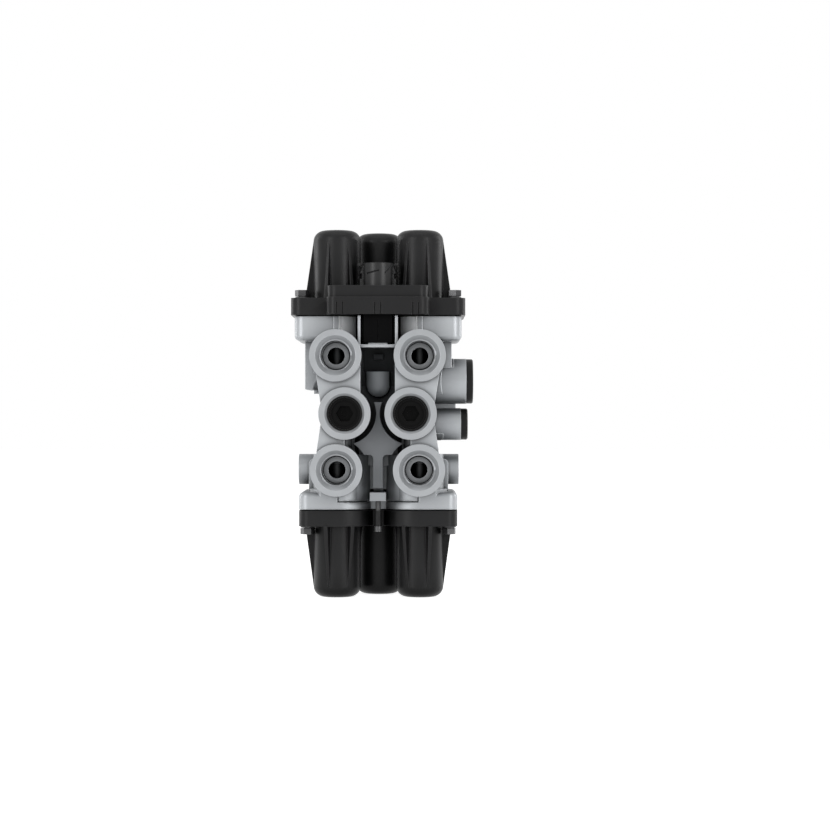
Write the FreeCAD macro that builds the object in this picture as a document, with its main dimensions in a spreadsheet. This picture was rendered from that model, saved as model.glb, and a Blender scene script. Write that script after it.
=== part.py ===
import FreeCAD, Part
import os
import re
import Sketcher
from FreeCAD import Placement, Rotation, Vector

# Four-circuit protection valve: a die-cast body between two moulded covers,
# with three spring domes on each cover and a valve under every dome.
# X runs to the right, Y to the rear and Z up. The origin is the middle of the
# rear mounting face, level with the middle pair of ports.
# A name ending in _y is a place in front of the mounting face, so it is negative.

SIZES = {
    # Casting: joint faces, flanges and blocks
    "body_top_z": 63.5,
    "body_base_z": -62.6,
    "top_flange_low_z": 47.8,
    "top_flange_half": 54.6,
    "base_flange_high_z": -51.4,
    "base_flange_half": 51.8,
    "flange_front_y": -80.0,
    "flange_rear_y": -4.0,
    "flange_corner": 6.0,
    "flange_edge": 3.0,
    "block_rear_y": -8.0,
    "upper_block_half": 49.6,
    "upper_block_low_z": 15.7,
    "upper_block_front_y": -66.0,
    "core_half": 36.0,
    "core_low_z": -34.0,
    "lower_block_half": 46.0,
    "lower_block_high_z": -30.0,
    "lower_block_front_y": -60.0,
    "block_corner": 3.0,
    "casting_lap": 2.0,
    # Six valve stations
    "bore_x": 27.2,
    "bore_y": -62.0,
    "rear_bore_y": -35.0,
    "column_radius": 15.6,
    "column_depth": 15.0,
    "chamber_radius": 12.5,
    "chamber_lead": 0.8,
    "seat_z": 28.0,
    "seat_height": 3.0,
    "seat_radius": 7.5,
    "seat_bore": 5.5,
    "upper_gallery_z": 17.0,
    "lower_gallery_z": -18.0,
    "upper_gallery_radius": 5.5,
    "lower_gallery_radius": 5.0,
    "cross_drill_radius": 4.8,
    # Front ports
    "port_face_y": -100.0,
    "port_top_x": 27.2,
    "port_top_z": 37.5,
    "port_mid_x": 21.3,
    "port_low_x": 26.7,
    "port_low_z": -36.6,
    "port_boss_radius": 16.7,
    "port_mouth_radius": 13.05,
    "port_thread_radius": 10.3,
    "port_depth": 18.0,
    "port_groove_outer": 9.2,
    "port_groove_inner": 8.6,
    "port_groove_depth": 1.2,
    "passage_radius": 5.6,
    "aux_passage_radius": 4.0,
    "aux_passage_z": -3.0,
    # Plates and webs between the ports
    "link_face_y": -96.0,
    "link_root_y": -70.0,
    "link_reach": 14.5,
    "recess_half": 11.2,
    "recess_floor_y": -68.0,
    "recess_pocket_y": -59.0,
    "recess_pocket_half": 10.2,
    "recess_pocket_low_z": 27.5,
    "cheek_thickness": 1.7,
    "cheek_face_y": -92.0,
    "ledge_top_z": 44.7,
    "ledge_thickness": 1.8,
    "lip_half": 6.1,
    "lip_height": 1.0,
    "lug_half": 3.1,
    "lug_low_z": 35.7,
    "lug_height": 3.3,
    "lug_face_y": -64.0,
    "knob_radius": 8.4,
    "knob_end_z": 10.0,
    "column_rib_half": 1.7,
    "column_rib_face_y": -80.5,
    "star_face_y": -84.0,
    "star_half": 16.4,
    "star_top_z": 7.4,
    "star_low_z": -26.8,
    "star_gap": 3.4,
    "stem_half": 2.8,
    "stem_end_z": -49.1,
    # Front of the lower flange
    "lobe_x": 24.0,
    "lobe_y": -64.0,
    "lobe_radius": 22.0,
    "lobe_step": 0.9,
    "lobe_strip": 3.4,
    "lobe_wall_top_z": -49.6,
    "valley_face_y": -77.0,
    "pad_half": 5.2,
    "pad_low_z": -57.1,
    "pad_high_z": -50.8,
    "pad_face_y": -88.0,
    "nib_half": 2.0,
    "nib_high_z": -58.6,
    "nib_face_y": -81.0,
    # Side ports and side fixing bosses
    "side_port_y": -54.0,
    "side_root": 30.0,
    "supply_z": 21.4,
    "supply_boss_radius": 14.95,
    "supply_face": 57.9,
    "supply_thread_radius": 10.3,
    "supply_depth": 15.0,
    "aux_z": -6.9,
    "aux_boss_radius": 10.6,
    "aux_face": 54.4,
    "aux_thread_radius": 7.2,
    "aux_depth": 12.0,
    "aux_duct_radius": 3.9,
    "side_web_half": 1.6,
    "side_web_reach": 51.0,
    "side_boss_y": -45.0,
    "side_boss_z": -36.9,
    "side_boss_radius": 10.15,
    "side_boss_face": 53.1,
    "side_boss_root": 38.0,
    "side_hole_radius": 4.25,
    "side_hole_depth": 14.0,
    "mouth_chamfer": 1.0,
    # Rear mounting pads
    "mount_half_x": 25.0,
    "mount_half_z": 28.0,
    "mount_pad_radius": 11.0,
    "mount_hole_radius": 4.25,
    "mount_hole_depth": 16.0,
    "rear_pocket_inner": 6.0,
    "rear_pocket_outer": 31.0,
    "rear_pocket_half": 13.0,
    "rear_pocket_floor_y": -26.0,
    "rear_pocket_corner": 5.0,
    # Covers
    "gasket_thickness": 0.8,
    "gasket_inset": 1.2,
    "gasket_bore_gap": 0.6,
    "upper_cover_half": 57.0,
    "upper_cover_top_z": 75.5,
    "upper_cover_front_y": -82.0,
    "cover_rear_y": -2.5,
    "cover_corner": 7.0,
    "tongue_half": 33.3,
    "tongue_face_y": -95.0,
    "tongue_corner": 6.0,
    "tier_half": 32.6,
    "tier_top_z": 83.0,
    "tier_face_y": -93.6,
    "tier_rear_y": -50.0,
    "tongue_wall": 2.6,
    "tongue_hollow_rear_y": -83.0,
    "lower_cover_half": 51.8,
    "lower_cover_low_z": -73.6,
    "lower_cover_front_y": -81.0,
    "notch_pitch_x": 24.6,
    "notch_half": 1.9,
    "notch_width": 0.8,
    "notch_depth": 0.9,
    "notch_height": 8.0,
    "dome_radius": 15.6,
    "dome_top_z": 120.5,
    "dome_round": 7.0,
    "dome_bore": 12.8,
    "dome_ceiling": 5.0,
    "rib_reach": 5.7,
    "rib_foot_width": 2.6,
    "rib_tip_width": 1.5,
    "rib_tip_z": 113.5,
    "rib_root": 2.0,
    "rib_front_outer_angle": 19.5,
    "rib_front_inner_angle": 31.0,
    "rib_rear_angle": 42.0,
    # Cover screws
    "upper_screw_x": 49.9,
    "lower_screw_x": 46.3,
    "screw_front_y": -71.0,
    "screw_rear_y": -19.0,
    "inner_screw_x": 22.0,
    "inner_screw_y": -11.0,
    "screw_shank_radius": 2.4,
    "screw_hole_gap": 0.3,
    "screw_thread_gap": 0.05,
    "screw_length": 20.0,
    "screw_flat_radius": 4.75,
    "screw_head_height": 4.4,
    "screw_flange_radius": 4.9,
    "screw_flange_height": 1.0,
    "centre_shank_radius": 1.65,
    "centre_head_radius": 2.6,
    "centre_head_height": 3.4,
    "centre_screw_tip_z": -54.5,
    # Valve internals, heights measured from the seat
    "disc_radius": 8.6,
    "disc_thickness": 2.5,
    "holder_height": 2.0,
    "holder_lip": 0.7,
    "stem_radius": 7.0,
    "head_low": 24.0,
    "head_high": 33.0,
    "head_clearance": 0.08,
    "seal_clearance": 0.04,
    "seal_low": 27.0,
    "seal_high": 30.0,
    "seal_groove_radius": 10.4,
    "spigot_radius": 7.2,
    "spigot_height": 3.0,
    "piston_hollow_radius": 4.5,
    "piston_hollow_depth": 18.0,
    "plate_thickness": 2.6,
    "plate_clearance": 0.5,
    "spring_radius": 9.2,
    "wire_radius": 1.25,
    "spring_turns": 6.0,
    # Plugs and caps
    "plug_gap": 0.06,
    "plug_face_depth": 1.5,
    "plug_length": 13.0,
    "plug_dish_radius": 8.7,
    "plug_dish_depth": 1.6,
    "plug_hex_radius": 5.8,
    "plug_hex_depth": 6.0,
    "plug_centre_radius": 2.1,
    "plug_centre_depth": 1.0,
    "plug_seal_start": 1.5,
    "plug_seal_width": 0.95,
    "plug_seal_gap": 0.12,
    "cap_thickness": 4.5,
    "cap_undersize": 0.25,
    "cap_plug_length": 7.0,
    "cap_plug_gap": 0.15,
    "cap_plug_wall": 1.8,
    "cap_round": 1.2,
    # Sensor and its connector
    "module_half": 9.7,
    "module_face_y": -90.0,
    "module_low_z": 46.0,
    "module_seam_half": 0.35,
    "module_seam_depth": 0.6,
    "module_corner": 1.0,
    "connector_y": -77.0,
    "connector_radius": 10.3,
    "connector_bore": 8.3,
    "connector_height": 16.0,
    "connector_floor": 4.0,
    "collar_radius": 12.4,
    "collar_height": 2.6,
    "lug_reach": 13.0,
    "bayonet_half_angle": 16.0,
    "bayonet_height": 3.4,
    "bayonet_drop": 5.6,
    "bayonet_ramp": 2.6,
    "pin_circle_radius": 4.4,
    "pin_radius": 1.15,
    "pin_height": 7.0,
    "pin_tail": 2.0,
}

document = FreeCAD.newDocument("ProtectionValve")
sheet = document.addObject("Spreadsheet::Sheet", "Sizes")
for row, (alias, size) in enumerate(SIZES.items(), start=1):
    sheet.set(f"A{row}", alias)
    sheet.set(f"B{row}", str(size))
    sheet.setAlias(f"B{row}", alias)
document.recompute()

UP = Rotation()
DOWN = Rotation(Vector(1, 0, 0), 180)
RIGHT = Rotation(Vector(0, 1, 0), 90)
LEFT = Rotation(Vector(0, 1, 0), -90)
REARWARD = Rotation(Vector(1, 0, 0), -90)
FRONTWARD = Rotation(Vector(1, 0, 0), 90)

# Valve stations: name, X, Y, side of the body
STATIONS = (
    ("left_upper", "-bore_x", "bore_y", "upper"),
    ("right_upper", "bore_x", "bore_y", "upper"),
    ("rear_upper", "0", "rear_bore_y", "upper"),
    ("left_lower", "-bore_x", "bore_y", "lower"),
    ("right_lower", "bore_x", "bore_y", "lower"),
    ("rear_lower", "0", "rear_bore_y", "lower"),
)
SIGNS = {"upper": "", "lower": "-"}
HEADINGS = {"upper": UP, "lower": DOWN}

# Finished pieces in the order in which they are written
pieces = []


def formula(text):
    """Rewrite the size names in a formula as readings of the sheet."""
    return re.sub(r"[a-z]+(?:_[a-z]+)+", lambda found: "Sizes." + found.group(), text)


def value(text):
    """Work a formula out as a plain number."""
    return float(sheet.evalExpression(formula(text)))


def bind(thing, **formulas):
    """Tie properties of an object to formulas."""
    for name, text in formulas.items():
        thing.setExpression(name, formula(text))
    return thing


def place(thing, x, y, z, heading=UP):
    """Turn an object and tie its position to formulas."""
    thing.Placement = Placement(Vector(), heading)
    for name, text in zip("xyz", (x, y, z)):
        thing.setExpression(f"Placement.Base.{name}", formula(text))
    return thing


def piece(thing, label):
    """Give a finished piece its label and put it on the list to write."""
    thing.Label = label
    pieces.append(thing)
    return thing


def block(name, x, y, z):
    """Box between the low and high formula of each direction."""
    box = document.addObject("Part::Box", name)
    bind(box, Length=f"({x[1]}) - ({x[0]})", Width=f"({y[1]}) - ({y[0]})", Height=f"({z[1]}) - ({z[0]})")
    return place(box, x[0], y[0], z[0])


def rod(name, heading, centre, radius, length):
    """Cylinder that starts at a centre and runs along a heading."""
    cylinder = document.addObject("Part::Cylinder", name)
    bind(cylinder, Radius=radius, Height=length)
    return place(cylinder, *centre, heading)


def joined(name, things):
    """One shape fused from several."""
    fusion = document.addObject("Part::MultiFuse", name)
    fusion.Shapes = things
    fusion.Refine = True
    return fusion


def carved(name, base, tools):
    """A base less one or several tools."""
    cut = document.addObject("Part::Cut", name)
    cut.Base = base
    cut.Tool = tools[0] if len(tools) == 1 else joined(name + "_tools", tools)
    cut.Refine = True
    return cut


def grouped(name, things):
    """Separate solids kept as one group."""
    group = document.addObject("Part::Compound", name)
    group.Links = things
    return group


def outline(body, plane, points):
    """Closed sketch of straight lines whose corners are tied to formulas."""
    sketch = body.newObject("Sketcher::SketchObject", body.Name + "_outline")
    support = next(feature for feature in body.Origin.OriginFeatures if feature.Role == plane)
    sketch.AttachmentSupport = [(support, "")]
    sketch.MapMode = "FlatFace"
    corners = [Vector(value(across), value(along), 0) for across, along in points]
    count = len(corners)
    for number, corner in enumerate(corners):
        sketch.addGeometry(Part.LineSegment(corner, corners[(number + 1) % count]), False)
    for number in range(count):
        sketch.addConstraint(Sketcher.Constraint("Coincident", number, 2, (number + 1) % count, 1))
    for number, point in enumerate(points):
        for kind, text in zip(("DistanceX", "DistanceY"), point):
            rule = Sketcher.Constraint(kind, -1, 1, number, 1, value(text))
            index = sketch.addConstraint(rule)
            sketch.setExpression(f"Constraints[{index}]", formula(text))
    return sketch


def rounded(body, base, chosen, radius):
    """Fillet the edges of a feature that a test picks."""
    document.recompute()
    names = [f"Edge{number}" for number, edge in enumerate(base.Shape.Edges, start=1) if chosen(edge)]
    fillet = body.newObject("PartDesign::Fillet", body.Name + "_round")
    fillet.Base = (base, names)
    return bind(fillet, Radius=radius)


def upright(edge):
    """Whether an edge is straight and runs along its body's own Z."""
    return isinstance(edge.Curve, Part.Line) and abs(edge.Curve.Direction.z) > 0.9


def at_height(height):
    """Test that picks the edges lying in one level plane."""
    def chosen(edge):
        box = edge.BoundBox
        return abs(box.ZMin - height) < 1e-4 and abs(box.ZMax - height) < 1e-4
    return chosen


def turned(name, points, centre=("0", "0", "0"), heading=UP):
    """Body turned from a profile of radius and height."""
    body = document.addObject("PartDesign::Body", name)
    profile = outline(body, "XZ_Plane", points)
    revolution = body.newObject("PartDesign::Revolution", name + "_turned")
    revolution.Profile = profile
    revolution.ReferenceAxis = (profile, ["V_Axis"])
    revolution.Angle = 360
    place(body, *centre, heading)
    return body


def slab(name, points, length, centre, heading=UP, corner=None, edge=None):
    """Body padded from an outline, with rounded corners and a rounded start edge."""
    body = document.addObject("PartDesign::Body", name)
    pad = body.newObject("PartDesign::Pad", name + "_pad")
    pad.Profile = outline(body, "XY_Plane", points)
    bind(pad, Length=length)
    feature = pad
    if corner:
        feature = rounded(body, feature, upright, corner)
    if edge:
        rounded(body, feature, at_height(0), edge)
    return place(body, *centre, heading)


def rectangle(low_across, high_across, low_along, high_along):
    """Corners of a rectangle, counter-clockwise."""
    return (
        (low_across, low_along),
        (high_across, low_along),
        (high_across, high_along),
        (low_across, high_along),
    )


def mirrored(points):
    """The same outline on the other side of the middle plane."""
    return tuple((f"-({across})", along) for across, along in reversed(points))


def screw_places(side):
    """Centres of the cover screws on one side of the valve."""
    corner = f"{side}_screw_x"
    return [
        (f"{sign}{across}", along)
        for across, along in (
            (corner, "screw_front_y"),
            (corner, "screw_rear_y"),
            ("inner_screw_x", "inner_screw_y"),
        )
        for sign in ("", "-")
    ]


def cast_blocks():
    """Flanges and blocks that carry the columns and bosses."""
    top_half = "top_flange_half"
    base_half = "base_flange_half"
    return [
        slab("top_flange", rectangle(f"-{top_half}", top_half, "flange_front_y", "flange_rear_y"),
             "body_top_z - top_flange_low_z", ("0", "0", "top_flange_low_z"), UP,
             corner="flange_corner", edge="flange_edge"),
        slab("base_flange", rectangle(f"-{base_half}", base_half, "-flange_rear_y", "-flange_front_y"),
             "base_flange_high_z - body_base_z", ("0", "0", "base_flange_high_z"), DOWN,
             corner="flange_corner", edge="flange_edge"),
        slab("upper_block", rectangle("-upper_block_half", "upper_block_half", "upper_block_low_z",
                                      "top_flange_low_z + casting_lap"),
             "block_rear_y - upper_block_front_y", ("0", "block_rear_y", "0"), FRONTWARD,
             corner="block_corner"),
        slab("core", rectangle("-core_half", "core_half", "core_low_z", "upper_block_low_z + casting_lap"),
             "block_rear_y - recess_floor_y", ("0", "block_rear_y", "0"), FRONTWARD, corner="block_corner"),
        slab("lower_block", rectangle("-lower_block_half", "lower_block_half",
                                      "base_flange_high_z - casting_lap", "lower_block_high_z"),
             "block_rear_y - lower_block_front_y", ("0", "block_rear_y", "0"), FRONTWARD,
             corner="block_corner"),
    ]


def columns():
    """Round wall of each valve chamber."""
    walls = []
    for name, x, y, side in STATIONS:
        sign = SIGNS[side]
        joint = "body_top_z" if side == "upper" else "-body_base_z"
        foot = f"{sign}(seat_z - column_depth)"
        length = f"{joint} - seat_z + column_depth"
        walls.append(rod(name + "_column", HEADINGS[side], (x, y, foot), "column_radius", length))
    return walls


def port_places():
    """Name, X and Z of the six front ports."""
    rows = (
        ("top", "port_top_x", "port_top_z"),
        ("mid", "port_mid_x", "0"),
        ("low", "port_low_x", "port_low_z"),
    )
    hands = (("left", "-"), ("right", ""))
    return [(f"{hand}_{row}", sign + x, z) for row, x, z in rows for hand, sign in hands]


def port_bosses():
    """Boss of each front port, back to the chamber columns."""
    return [
        rod(f"{name}_boss", FRONTWARD, (x, "bore_y", z), "port_boss_radius", "bore_y - port_face_y")
        for name, x, z in port_places()
    ]


def link_plates():
    """Flat plates that tie the three bosses of each side together."""
    points = (
        ("recess_half", "0"),
        ("port_mid_x", "0"),
        ("port_mid_x", "port_low_z"),
        ("port_low_x + link_reach", "port_low_z"),
        ("port_mid_x + link_reach", "0"),
        ("port_top_x + link_reach", "port_top_z"),
        ("recess_half", "port_top_z"),
    )
    length = "link_root_y - link_face_y"
    centre = ("0", "link_root_y", "0")
    return [
        slab("right_link", points, length, centre, FRONTWARD),
        slab("left_link", mirrored(points), length, centre, FRONTWARD),
    ]


def recess_details():
    """Cheeks, ledge, lug and knob in the recess between the upper ports."""
    outer = "recess_half + cheek_thickness"
    parts = [
        block("right_cheek", ("recess_half", outer), ("cheek_face_y", "recess_floor_y"),
              ("port_top_z - port_boss_radius", "body_top_z")),
        block("left_cheek", (f"-({outer})", "-recess_half"), ("cheek_face_y", "recess_floor_y"),
              ("port_top_z - port_boss_radius", "body_top_z")),
        block("ledge", ("-recess_half", "recess_half"), ("cheek_face_y", "recess_floor_y + casting_lap"),
              ("ledge_top_z - ledge_thickness", "ledge_top_z")),
        block("ledge_lip", ("-lip_half", "lip_half"), ("module_face_y", "recess_floor_y + casting_lap"),
              ("ledge_top_z", "ledge_top_z + lip_height")),
        rod("knob", UP, ("0", "recess_floor_y", "knob_end_z + knob_radius"), "knob_radius",
            "recess_pocket_low_z - knob_end_z - knob_radius"),
    ]
    end = document.addObject("Part::Sphere", "knob_end")
    bind(end, Radius="knob_radius")
    parts.append(place(end, "0", "recess_floor_y", "knob_end_z + knob_radius"))
    for name, x in (("left", "-port_top_x"), ("right", "port_top_x")):
        parts.append(block(f"{name}_column_rib", (f"{x} - column_rib_half", f"{x} + column_rib_half"),
                           ("column_rib_face_y", "bore_y"), ("port_top_z", "body_top_z")))
    return parts


def star_web():
    """Star-shaped land that runs between the middle and lower ports, and its stem."""
    rays = block("rays", ("-star_half", "star_half"), ("star_face_y", "recess_floor_y + casting_lap"),
                 ("star_low_z", "star_top_z"))
    hollows = [
        rod(f"{name}_clearing", FRONTWARD, (x, "recess_floor_y", z), "port_boss_radius + star_gap",
            "recess_floor_y - star_face_y + casting_lap")
        for name, x, z in port_places()
        if not name.endswith("top")
    ]
    stem = block("stem", ("-stem_half", "stem_half"), ("star_face_y", "recess_floor_y + casting_lap"),
                 ("stem_end_z", "star_low_z + casting_lap"))
    return [carved("star", rays, hollows), stem]


def lower_front(prefix, step, low_z, high_z):
    """Two convex lobes and the valley between them, as on the lower joint."""
    height = f"({high_z}) - ({low_z})"
    parts = [
        rod(f"{prefix}_{hand}_lobe", UP, (sign + "lobe_x", "lobe_y", low_z), f"lobe_radius - {step}", height)
        for hand, sign in (("left", "-"), ("right", ""))
    ]
    parts.append(block(f"{prefix}_valley", ("-lobe_x", "lobe_x"), ("valley_face_y", "recess_floor_y"),
                       (low_z, high_z)))
    return parts


def lower_joint_front():
    """Front wall above the lower joint with its strip, pad and screw nib."""
    wall = lower_front("wall", "lobe_step", "body_base_z", "lobe_wall_top_z")
    strip = lower_front("strip", "0", "body_base_z", "body_base_z + lobe_strip")
    pad = block("pad", ("-pad_half", "pad_half"), ("pad_face_y", "recess_floor_y"),
                ("pad_low_z", "pad_high_z"))
    nib = block("nib", ("-nib_half", "nib_half"), ("nib_face_y", "recess_floor_y"),
                ("body_base_z", "nib_high_z"))
    return wall + strip + [pad, nib]


def side_bosses():
    """Supply and auxiliary bosses on the right, their web and the two fixing bosses."""
    start = ("side_root", "side_port_y")
    parts = [
        rod("supply_boss", RIGHT, (*start, "supply_z"), "supply_boss_radius", "supply_face - side_root"),
        rod("aux_boss", RIGHT, (*start, "aux_z"), "aux_boss_radius", "aux_face - side_root"),
        block("side_web", ("side_root", "side_web_reach"),
              ("side_port_y - side_web_half", "side_port_y + side_web_half"), ("aux_z", "supply_z")),
    ]
    for name, sign, heading in (("left", "-", LEFT), ("right", "", RIGHT)):
        centre = (f"{sign}side_boss_root", "side_boss_y", "side_boss_z")
        parts.append(rod(f"{name}_fixing_boss", heading, centre, "side_boss_radius",
                         "side_boss_face - side_boss_root"))
    return parts


def mount_places():
    """Centres of the four rear mounting holes."""
    signs = ("", "-")
    return [(f"{across}mount_half_x", f"{along}mount_half_z") for across in signs for along in signs]


def mount_pads():
    """Round pads that end in the mounting face."""
    return [
        rod(f"mount_pad_{number}", REARWARD, (x, "block_rear_y - casting_lap", z), "mount_pad_radius",
            "casting_lap - block_rear_y")
        for number, (x, z) in enumerate(mount_places(), start=1)
    ]


def threaded_port(name, heading, centre, mouth, thread, depth):
    """Cavity of a threaded hole with a conical mouth, measured inwards from its face."""
    points = (
        ("0", "casting_lap"),
        (mouth, "casting_lap"),
        (mouth, "0"),
        (thread, f"{thread} - ({mouth})"),
        (thread, f"-({depth})"),
        ("0", f"-({depth})"),
    )
    return turned(name, points, centre, heading)


def front_port_cavities():
    """Threaded front ports: grooved floor, and the passage to the chamber behind."""
    cavities = []
    for name, x, z in port_places():
        cavities.append(threaded_port(f"{name}_port", FRONTWARD, (x, "port_face_y", z), "port_mouth_radius",
                                      "port_thread_radius", "port_depth"))
        groove_floor = "-port_depth - port_groove_depth"
        ring = (
            ("port_groove_inner", groove_floor),
            ("port_groove_outer", groove_floor),
            ("port_groove_outer", "casting_lap - port_depth"),
            ("port_groove_inner", "casting_lap - port_depth"),
        )
        cavities.append(turned(f"{name}_groove", ring, (x, "port_face_y", z), FRONTWARD))
        if name.endswith("mid"):
            cavities.append(rod(f"{name}_passage", FRONTWARD, (x, "side_port_y", "aux_passage_z"),
                                "aux_passage_radius", "side_port_y - port_face_y - port_depth + casting_lap"))
        else:
            cavities.append(rod(f"{name}_passage", FRONTWARD, (x, "bore_y", z), "passage_radius",
                                "bore_y - port_face_y - port_depth + casting_lap"))
    return cavities


def chamber_cavities():
    """Stepped bore of each valve station, down through its seat to the gallery."""
    cavities = []
    for name, x, y, side in STATIONS:
        sign = SIGNS[side]
        joint = "body_top_z" if side == "upper" else "-body_base_z"
        foot = f"{sign}{side}_gallery_z - seat_z"
        mouth = f"{joint} - seat_z"
        points = (
            ("0", foot),
            ("seat_bore", foot),
            ("seat_bore", "0"),
            ("seat_radius", "0"),
            ("seat_radius", "-seat_height"),
            ("chamber_radius", "-seat_height"),
            ("chamber_radius", f"{mouth} - chamber_lead"),
            ("chamber_radius + chamber_lead", mouth),
            ("chamber_radius + chamber_lead", f"{mouth} + casting_lap"),
            ("0", f"{mouth} + casting_lap"),
        )
        cavities.append(turned(f"{name}_chamber", points, (x, y, f"{sign}seat_z"), HEADINGS[side]))
    return cavities


def gallery_cavities():
    """Drilled ducts that feed the seats and the auxiliary ports."""
    ducts = [
        rod("rear_riser", UP, ("0", "rear_bore_y", "lower_gallery_z"), "cross_drill_radius",
            "upper_gallery_z - lower_gallery_z"),
        rod("aux_duct", RIGHT, ("-port_mid_x", "side_port_y", "aux_z"), "aux_duct_radius",
            "port_mid_x + aux_face - aux_depth + casting_lap"),
    ]
    for side in ("upper", "lower"):
        level = f"{side}_gallery_z"
        reach = "supply_face - supply_depth + casting_lap" if side == "upper" else "bore_x"
        ducts.append(rod(f"{side}_gallery", RIGHT, ("-bore_x", "side_port_y", level),
                         f"{side}_gallery_radius", f"bore_x + {reach}"))
        ducts.append(rod(f"{side}_cross_drill", REARWARD, ("0", "side_port_y", level), "cross_drill_radius",
                         "rear_bore_y - side_port_y"))
    return ducts


def side_cavities():
    """Threaded holes of the side ports and side fixing bosses."""
    cavities = [
        threaded_port("supply_port", RIGHT, ("supply_face", "side_port_y", "supply_z"),
                      "supply_thread_radius + mouth_chamfer", "supply_thread_radius", "supply_depth"),
        threaded_port("aux_port", RIGHT, ("aux_face", "side_port_y", "aux_z"),
                      "aux_thread_radius + mouth_chamfer", "aux_thread_radius", "aux_depth"),
    ]
    for name, sign, heading in (("left", "-", LEFT), ("right", "", RIGHT)):
        centre = (f"{sign}side_boss_face", "side_boss_y", "side_boss_z")
        cavities.append(threaded_port(f"{name}_fixing_hole", heading, centre,
                                      "side_hole_radius + mouth_chamfer", "side_hole_radius",
                                      "side_hole_depth"))
    return cavities


def rear_cavities():
    """Mounting holes and the two lightening pockets between them."""
    cavities = [
        rod(f"mount_hole_{number}", FRONTWARD, (x, "casting_lap", z), "mount_hole_radius",
            "mount_hole_depth + casting_lap")
        for number, (x, z) in enumerate(mount_places(), start=1)
    ]
    pocket = rectangle("rear_pocket_inner", "rear_pocket_outer", "-rear_pocket_half", "rear_pocket_half")
    length = "casting_lap - rear_pocket_floor_y"
    for name, points in (("right", pocket), ("left", mirrored(pocket))):
        cavities.append(slab(f"{name}_rear_pocket", points, length, ("0", "casting_lap", "0"), FRONTWARD,
                             corner="rear_pocket_corner"))
    return cavities


def body_screw_holes():
    """Holes in both joint faces for the cover screws, and one for the centre screw."""
    holes = []
    bite = "screw_length - upper_cover_top_z + body_top_z + casting_lap"
    starts = (("upper", "body_top_z + casting_lap", DOWN), ("lower", "body_base_z - casting_lap", UP))
    for side, joint, heading in starts:
        for number, (x, y) in enumerate(screw_places(side), start=1):
            holes.append(rod(f"{side}_thread_{number}", heading, (x, y, joint),
                             "screw_shank_radius + screw_thread_gap", bite + " + casting_lap"))
    holes.append(rod("centre_thread", UP, ("0", "valley_face_y", "body_base_z - casting_lap"),
                     "centre_shank_radius + screw_thread_gap",
                     "centre_screw_tip_z + casting_lap - body_base_z + casting_lap"))
    return holes


def valve_body():
    """The casting: blocks, columns, bosses and webs, less every bore and pocket."""
    solids = (cast_blocks() + columns() + port_bosses() + link_plates() + side_bosses() + mount_pads()
              + lower_joint_front())
    recess = block("recess", ("-recess_half", "recess_half"), ("port_face_y", "recess_floor_y"),
                   ("pad_high_z", "body_top_z + casting_lap"))
    pocket = block("recess_pocket", ("-recess_pocket_half", "recess_pocket_half"),
                   ("port_face_y", "recess_pocket_y"),
                   ("recess_pocket_low_z", "ledge_top_z - ledge_thickness"))
    rough = carved("rough_casting", joined("cast_solids", solids), [recess, pocket])
    lug = block("lug", ("-lug_half", "lug_half"), ("lug_face_y", "recess_pocket_y + casting_lap"),
                ("lug_low_z", "lug_low_z + lug_height"))
    detailed = joined("detailed_casting", [rough, lug] + recess_details() + star_web())
    cavities = (front_port_cavities() + chamber_cavities() + gallery_cavities() + side_cavities()
                + rear_cavities() + body_screw_holes())
    piece(carved("valve_body", detailed, cavities), "valve_body")


def rib_directions(name):
    """Directions of the ribs round one dome, in degrees from +X."""
    outer = value("rib_front_outer_angle")
    inner = value("rib_front_inner_angle")
    rear = value("rib_rear_angle")
    right = [0, outer - 90, -90 - inner, rear, 180 - rear]
    if name.startswith("right"):
        return right
    if name.startswith("left"):
        return [180 - direction for direction in right]
    return [90, 90 - rear, 90 + rear]


def dome_solids(side):
    """Domes of one cover with their tapered ribs."""
    solids = []
    foot = "upper_cover_top_z" if side == "upper" else "-lower_cover_low_z"
    joint = "body_top_z" if side == "upper" else "-body_base_z"
    sign = SIGNS[side]
    for name, x, y, _ in (station for station in STATIONS if station[3] == side):
        low = f"{joint} + gasket_thickness + casting_lap"
        points = (("0", low), ("dome_radius", low), ("dome_radius", "dome_top_z"), ("0", "dome_top_z"))
        dome = turned(f"{name}_dome", points, (x, y, "0"), HEADINGS[side])
        rounded(dome, dome.Tip, at_height(value("dome_top_z")), "dome_round")
        solids.append(dome)
        for number, direction in enumerate(rib_directions(name), start=1):
            rib = document.addObject("Part::Wedge", f"{name}_rib_{number}")
            bind(rib, Xmin="dome_radius - rib_root", Xmax="dome_radius + rib_reach",
                 X2min="dome_radius - rib_root", X2max="dome_radius",
                 Ymin="0", Ymax=f"rib_tip_z - ({foot}) + casting_lap",
                 Zmin="-rib_foot_width / 2", Zmax="rib_foot_width / 2",
                 Z2min="-rib_tip_width / 2", Z2max="rib_tip_width / 2")
            tilt = 90 if side == "upper" else -90
            heading = Rotation(Vector(0, 0, 1), direction) * Rotation(Vector(1, 0, 0), tilt)
            place(rib, x, y, f"{sign}({foot} - casting_lap)", heading)
            solids.append(rib)
    return solids


def dome_hollows(side):
    """Spring space inside each dome of one cover."""
    joint = "body_top_z" if side == "upper" else "-body_base_z"
    sign = SIGNS[side]
    return [
        rod(f"{name}_hollow", HEADINGS[side], (x, y, f"{sign}{joint}" if side == "upper" else "body_base_z"),
            "dome_bore", f"dome_top_z - dome_ceiling - ({joint})")
        for name, x, y, _ in (station for station in STATIONS if station[3] == side)
    ]


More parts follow.
